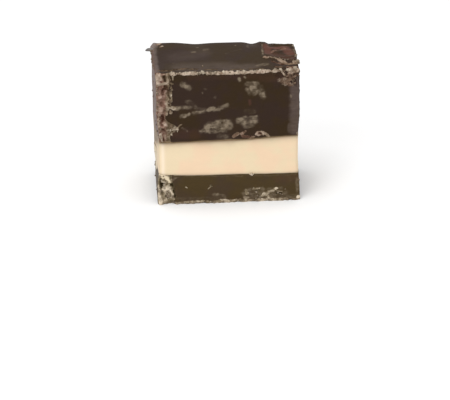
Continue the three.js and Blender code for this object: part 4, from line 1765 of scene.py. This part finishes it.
@dataclass(frozen=True)
class CreamFudgeFinish:
    """Pale cream fudge: smooth, with faint warm blotches, a brown smudge at its seams, knife smears and
    painted shade darkening its left side, and a painted highlight along its rounded left edge.
    """

    name: str
    cool: Colour
    warm: Colour
    smudge: Colour
    edge_highlight: Colour
    blotch_size: float = 8.0
    grain_size: float = 0.6
    streak_size: float = 1.1
    streak_stretch: tuple[float, float, float] = (0.2, 0.2, 1.0)
    gloss: float = 0.05

    def build(self) -> bpy.types.Material:
        """The material of the pale layer's skin."""
        sketch = Sketch(self.name)
        place = sketch.millimetres()
        blotch = sketch.noise(place, self.blotch_size, 3.0)
        grain = sketch.noise(place, self.grain_size, 4.0, 0.6)
        streaks = sketch.noise(sketch.millimetres(self.streak_stretch), self.streak_size, 3.0)
        colour = sketch.mix(blotch.step(0.38, 0.62), self.cool, self.warm)
        colour = sketch.shade(colour, 1.0 + grain.swing(0.05) + streaks.swing(0.04))
        # Painted highlight along the rounded left edge.
        colour = sketch.mix(sketch.mark("rubbed"), colour, self.edge_highlight)
        smudge = sketch.mark("smudge") * (0.8 + streaks.swing(0.5))
        return sketch.finish(
            Base_Color=sketch.mix(smudge, colour, self.smudge),
            Roughness=0.5 + grain.swing(0.1),
            Specular_IOR_Level=self.gloss,
            Normal=sketch.relief(streaks * 0.5 + grain * 0.35, 0.07),
        )


@dataclass(frozen=True)
class CrumbFinish:
    """Loose crumbs, from dark fudge to dry pale ones by their own tone."""

    name: str
    colours: tuple[Colour, Colour, Colour]
    grain_size: float = 0.35

    def build(self) -> bpy.types.Material:
        """The material of the loose crumbs."""
        sketch = Sketch(self.name)
        grain = sketch.noise(sketch.millimetres(), self.grain_size, 3.0, 0.6)
        colour = sketch.ramp(sketch.mark("tone") + grain.swing(0.5), self.colours)
        return sketch.finish(
            Base_Color=sketch.shade(colour, 1.0 + grain.swing(0.3)),
            Roughness=0.7,
            Specular_IOR_Level=0.15,
            Normal=sketch.relief(grain, 0.08),
        )


@dataclass(frozen=True)
class FloorFinish:
    """Plain pale floor with a faint unevenness."""

    name: str
    dull: Colour
    pale: Colour
    blotch_size: float = 40.0

    def build(self) -> bpy.types.Material:
        """The material of the floor."""
        sketch = Sketch(self.name)
        colour = sketch.mix(sketch.noise(sketch.millimetres(), self.blotch_size, 2.0), self.dull, self.pale)
        return sketch.finish(Base_Color=colour, Roughness=0.9, Specular_IOR_Level=0.1)


TOP_FINISH = DarkFudgeFinish(
    name="dark_fudge",
    plum=srgb(53, 40, 33),
    olive=srgb(54, 41, 26),
    film=srgb(130, 116, 98),
    rubbed=srgb(128, 113, 106),
    chestnut=srgb(98, 64, 54),
    olive_tear=(srgb(56, 42, 28), srgb(114, 98, 78), srgb(184, 170, 150)),
    red_tear=(srgb(66, 38, 28), srgb(134, 104, 90), srgb(196, 174, 158)),
    cream=srgb(150, 128, 98),
)
BASE_FINISH = DarkFudgeFinish(
    name="base_dark_fudge",
    plum=srgb(71, 57, 42),
    olive=srgb(73, 59, 36),
    film=srgb(136, 122, 102),
    rubbed=srgb(92, 78, 64),
    chestnut=srgb(84, 60, 44),
    olive_tear=(srgb(50, 42, 24), srgb(130, 116, 92), srgb(218, 204, 180)),
    red_tear=(srgb(58, 40, 28), srgb(132, 112, 92), srgb(206, 188, 168)),
    cream=srgb(228, 212, 182),
)
CREAM_FINISH = CreamFudgeFinish(
    name="cream_fudge",
    cool=srgb(234, 214, 180),
    warm=srgb(238, 210, 178),
    # Brown of the seams' smudge, also used as painted shade on the left side.
    smudge=srgb(120, 104, 86),
    # Colour of the painted highlight along the rounded left edge.
    edge_highlight=srgb(250, 232, 208),
)
CRUMB_FINISH = CrumbFinish("fudge_crumbs", (srgb(62, 44, 32), srgb(120, 104, 86), srgb(190, 176, 156)))
CURL_FINISH = CrumbFinish("dry_fudge_curl", (srgb(74, 70, 68), srgb(112, 107, 104), srgb(160, 156, 152)))
FLOOR_FINISH = FloorFinish("pale_floor", (0.88, 0.88, 0.88), (0.92, 0.92, 0.92))


# ---- Studio --------------------------------------------------------------------------------------


@dataclass(frozen=True)
class SoftLight:
    """A square area light that faces the slice, with its place and width in metres."""

    name: str
    place: tuple[float, float, float]
    width: float
    power: float

    def build(self) -> None:
        """Makes the light."""
        data = bpy.data.lights.new(self.name, "AREA")
        data.size = self.width
        data.energy = self.power
        light = bpy.data.objects.new(self.name, data)
        light.location = self.place
        light.rotation_mode = "QUATERNION"
        light.rotation_quaternion = (-Vector(self.place)).to_track_quat("-Z", "Y")
        bpy.context.scene.collection.objects.link(light)


@dataclass
class Studio:
    """Plain pale floor, white surroundings and soft lights."""

    floor_half: float = 3000.0
    floor_lines: int = 9
    world: float = 0.72
    lights: tuple[SoftLight, ...] = (
        SoftLight("overhead", (-0.1, -0.15, 1.0), 0.7, 5.0),
        SoftLight("key", (-0.55, -0.75, 0.75), 0.5, 2.5),
    )

    def build(self) -> None:
        """Makes the floor, the world and the lights."""
        side = np.linspace(-self.floor_half, self.floor_half, self.floor_lines)
        x, y = np.meshgrid(side, side, indexing="ij")
        faces = grid_faces(np.arange(x.size).reshape(x.shape), True)
        points = np.stack([x.ravel(), y.ravel(), np.zeros(x.size)], axis=1)
        floor = write_mesh("floor", points, faces, {})
        floor.data.materials.append(FLOOR_FINISH.build())
        scene = bpy.context.scene
        scene.world = bpy.data.worlds.new("surroundings")
        scene.world.use_nodes = True
        background = scene.world.node_tree.nodes["Background"]
        background.inputs["Color"].default_value = (1.0, 1.0, 1.0, 1.0)
        background.inputs["Strength"].default_value = self.world
        scene.view_settings.view_transform = "Standard"
        for light in self.lights:
            light.build()
        LOG.info("studio: floor, surroundings and %d lights", len(self.lights))


# ---- The whole slice -----------------------------------------------------------------------------


def main() -> None:
    """Builds the camera, the three layers, their crumbs and the studio."""
    logging.basicConfig(level=logging.INFO, format="%(name)s: %(message)s")
    CAMERA.build()
    form = SliceForm()
    wear = Wear(form)
    across = ((0.0, 0.15), (8.0, 0.18), (11.0, 0.36), (32.0, 0.36), (36.0, 0.2), (50.2, 0.2))
    depths = ((0.0, 0.1), (1.8, 0.16), (5.0, 0.42), (24.0, 0.44), (27.0, 0.28))
    top = LayerSkin(Layer.TOP, "top_fudge", wear, across, depths, ((0.0, 0.28), (23.5, 0.28), (26.0, 0.13)))
    cream = LayerSkin(
        Layer.CREAM, "cream_fudge", wear,
        ((0.0, 0.2), (2.0, 0.5), (48.0, 0.5), (50.2, 0.2)),
        ((0.0, 0.2), (2.0, 0.5), (25.0, 0.5), (27.0, 0.2)),
        ((0.0, 0.14), (1.4, 0.2), (3.0, 0.4), (9.0, 0.4), (11.0, 0.25), (13.4, 0.14)),
    )
    base = LayerSkin(
        Layer.BASE, "base_fudge", wear, across,
        ((0.0, 0.12), (1.6, 0.2), (4.0, 0.6), (25.0, 0.6), (27.0, 0.28)),
        ((0.0, 0.14), (5.0, 0.2), (11.0, 0.2)),
    )
    base.build(BASE_FINISH.build())
    cream.build(CREAM_FINISH.build())
    top.build(TOP_FINISH.build())
    loose = CRUMB_FINISH.build()
    for seed, kind in enumerate(Crumbs, start=Seed.CRUMBS):
        CrumbPiece(kind, form).build(loose, seed)
    EdgeCurl().build(CURL_FINISH.build())
    Studio().build()


if __name__ == "__main__":
    main()
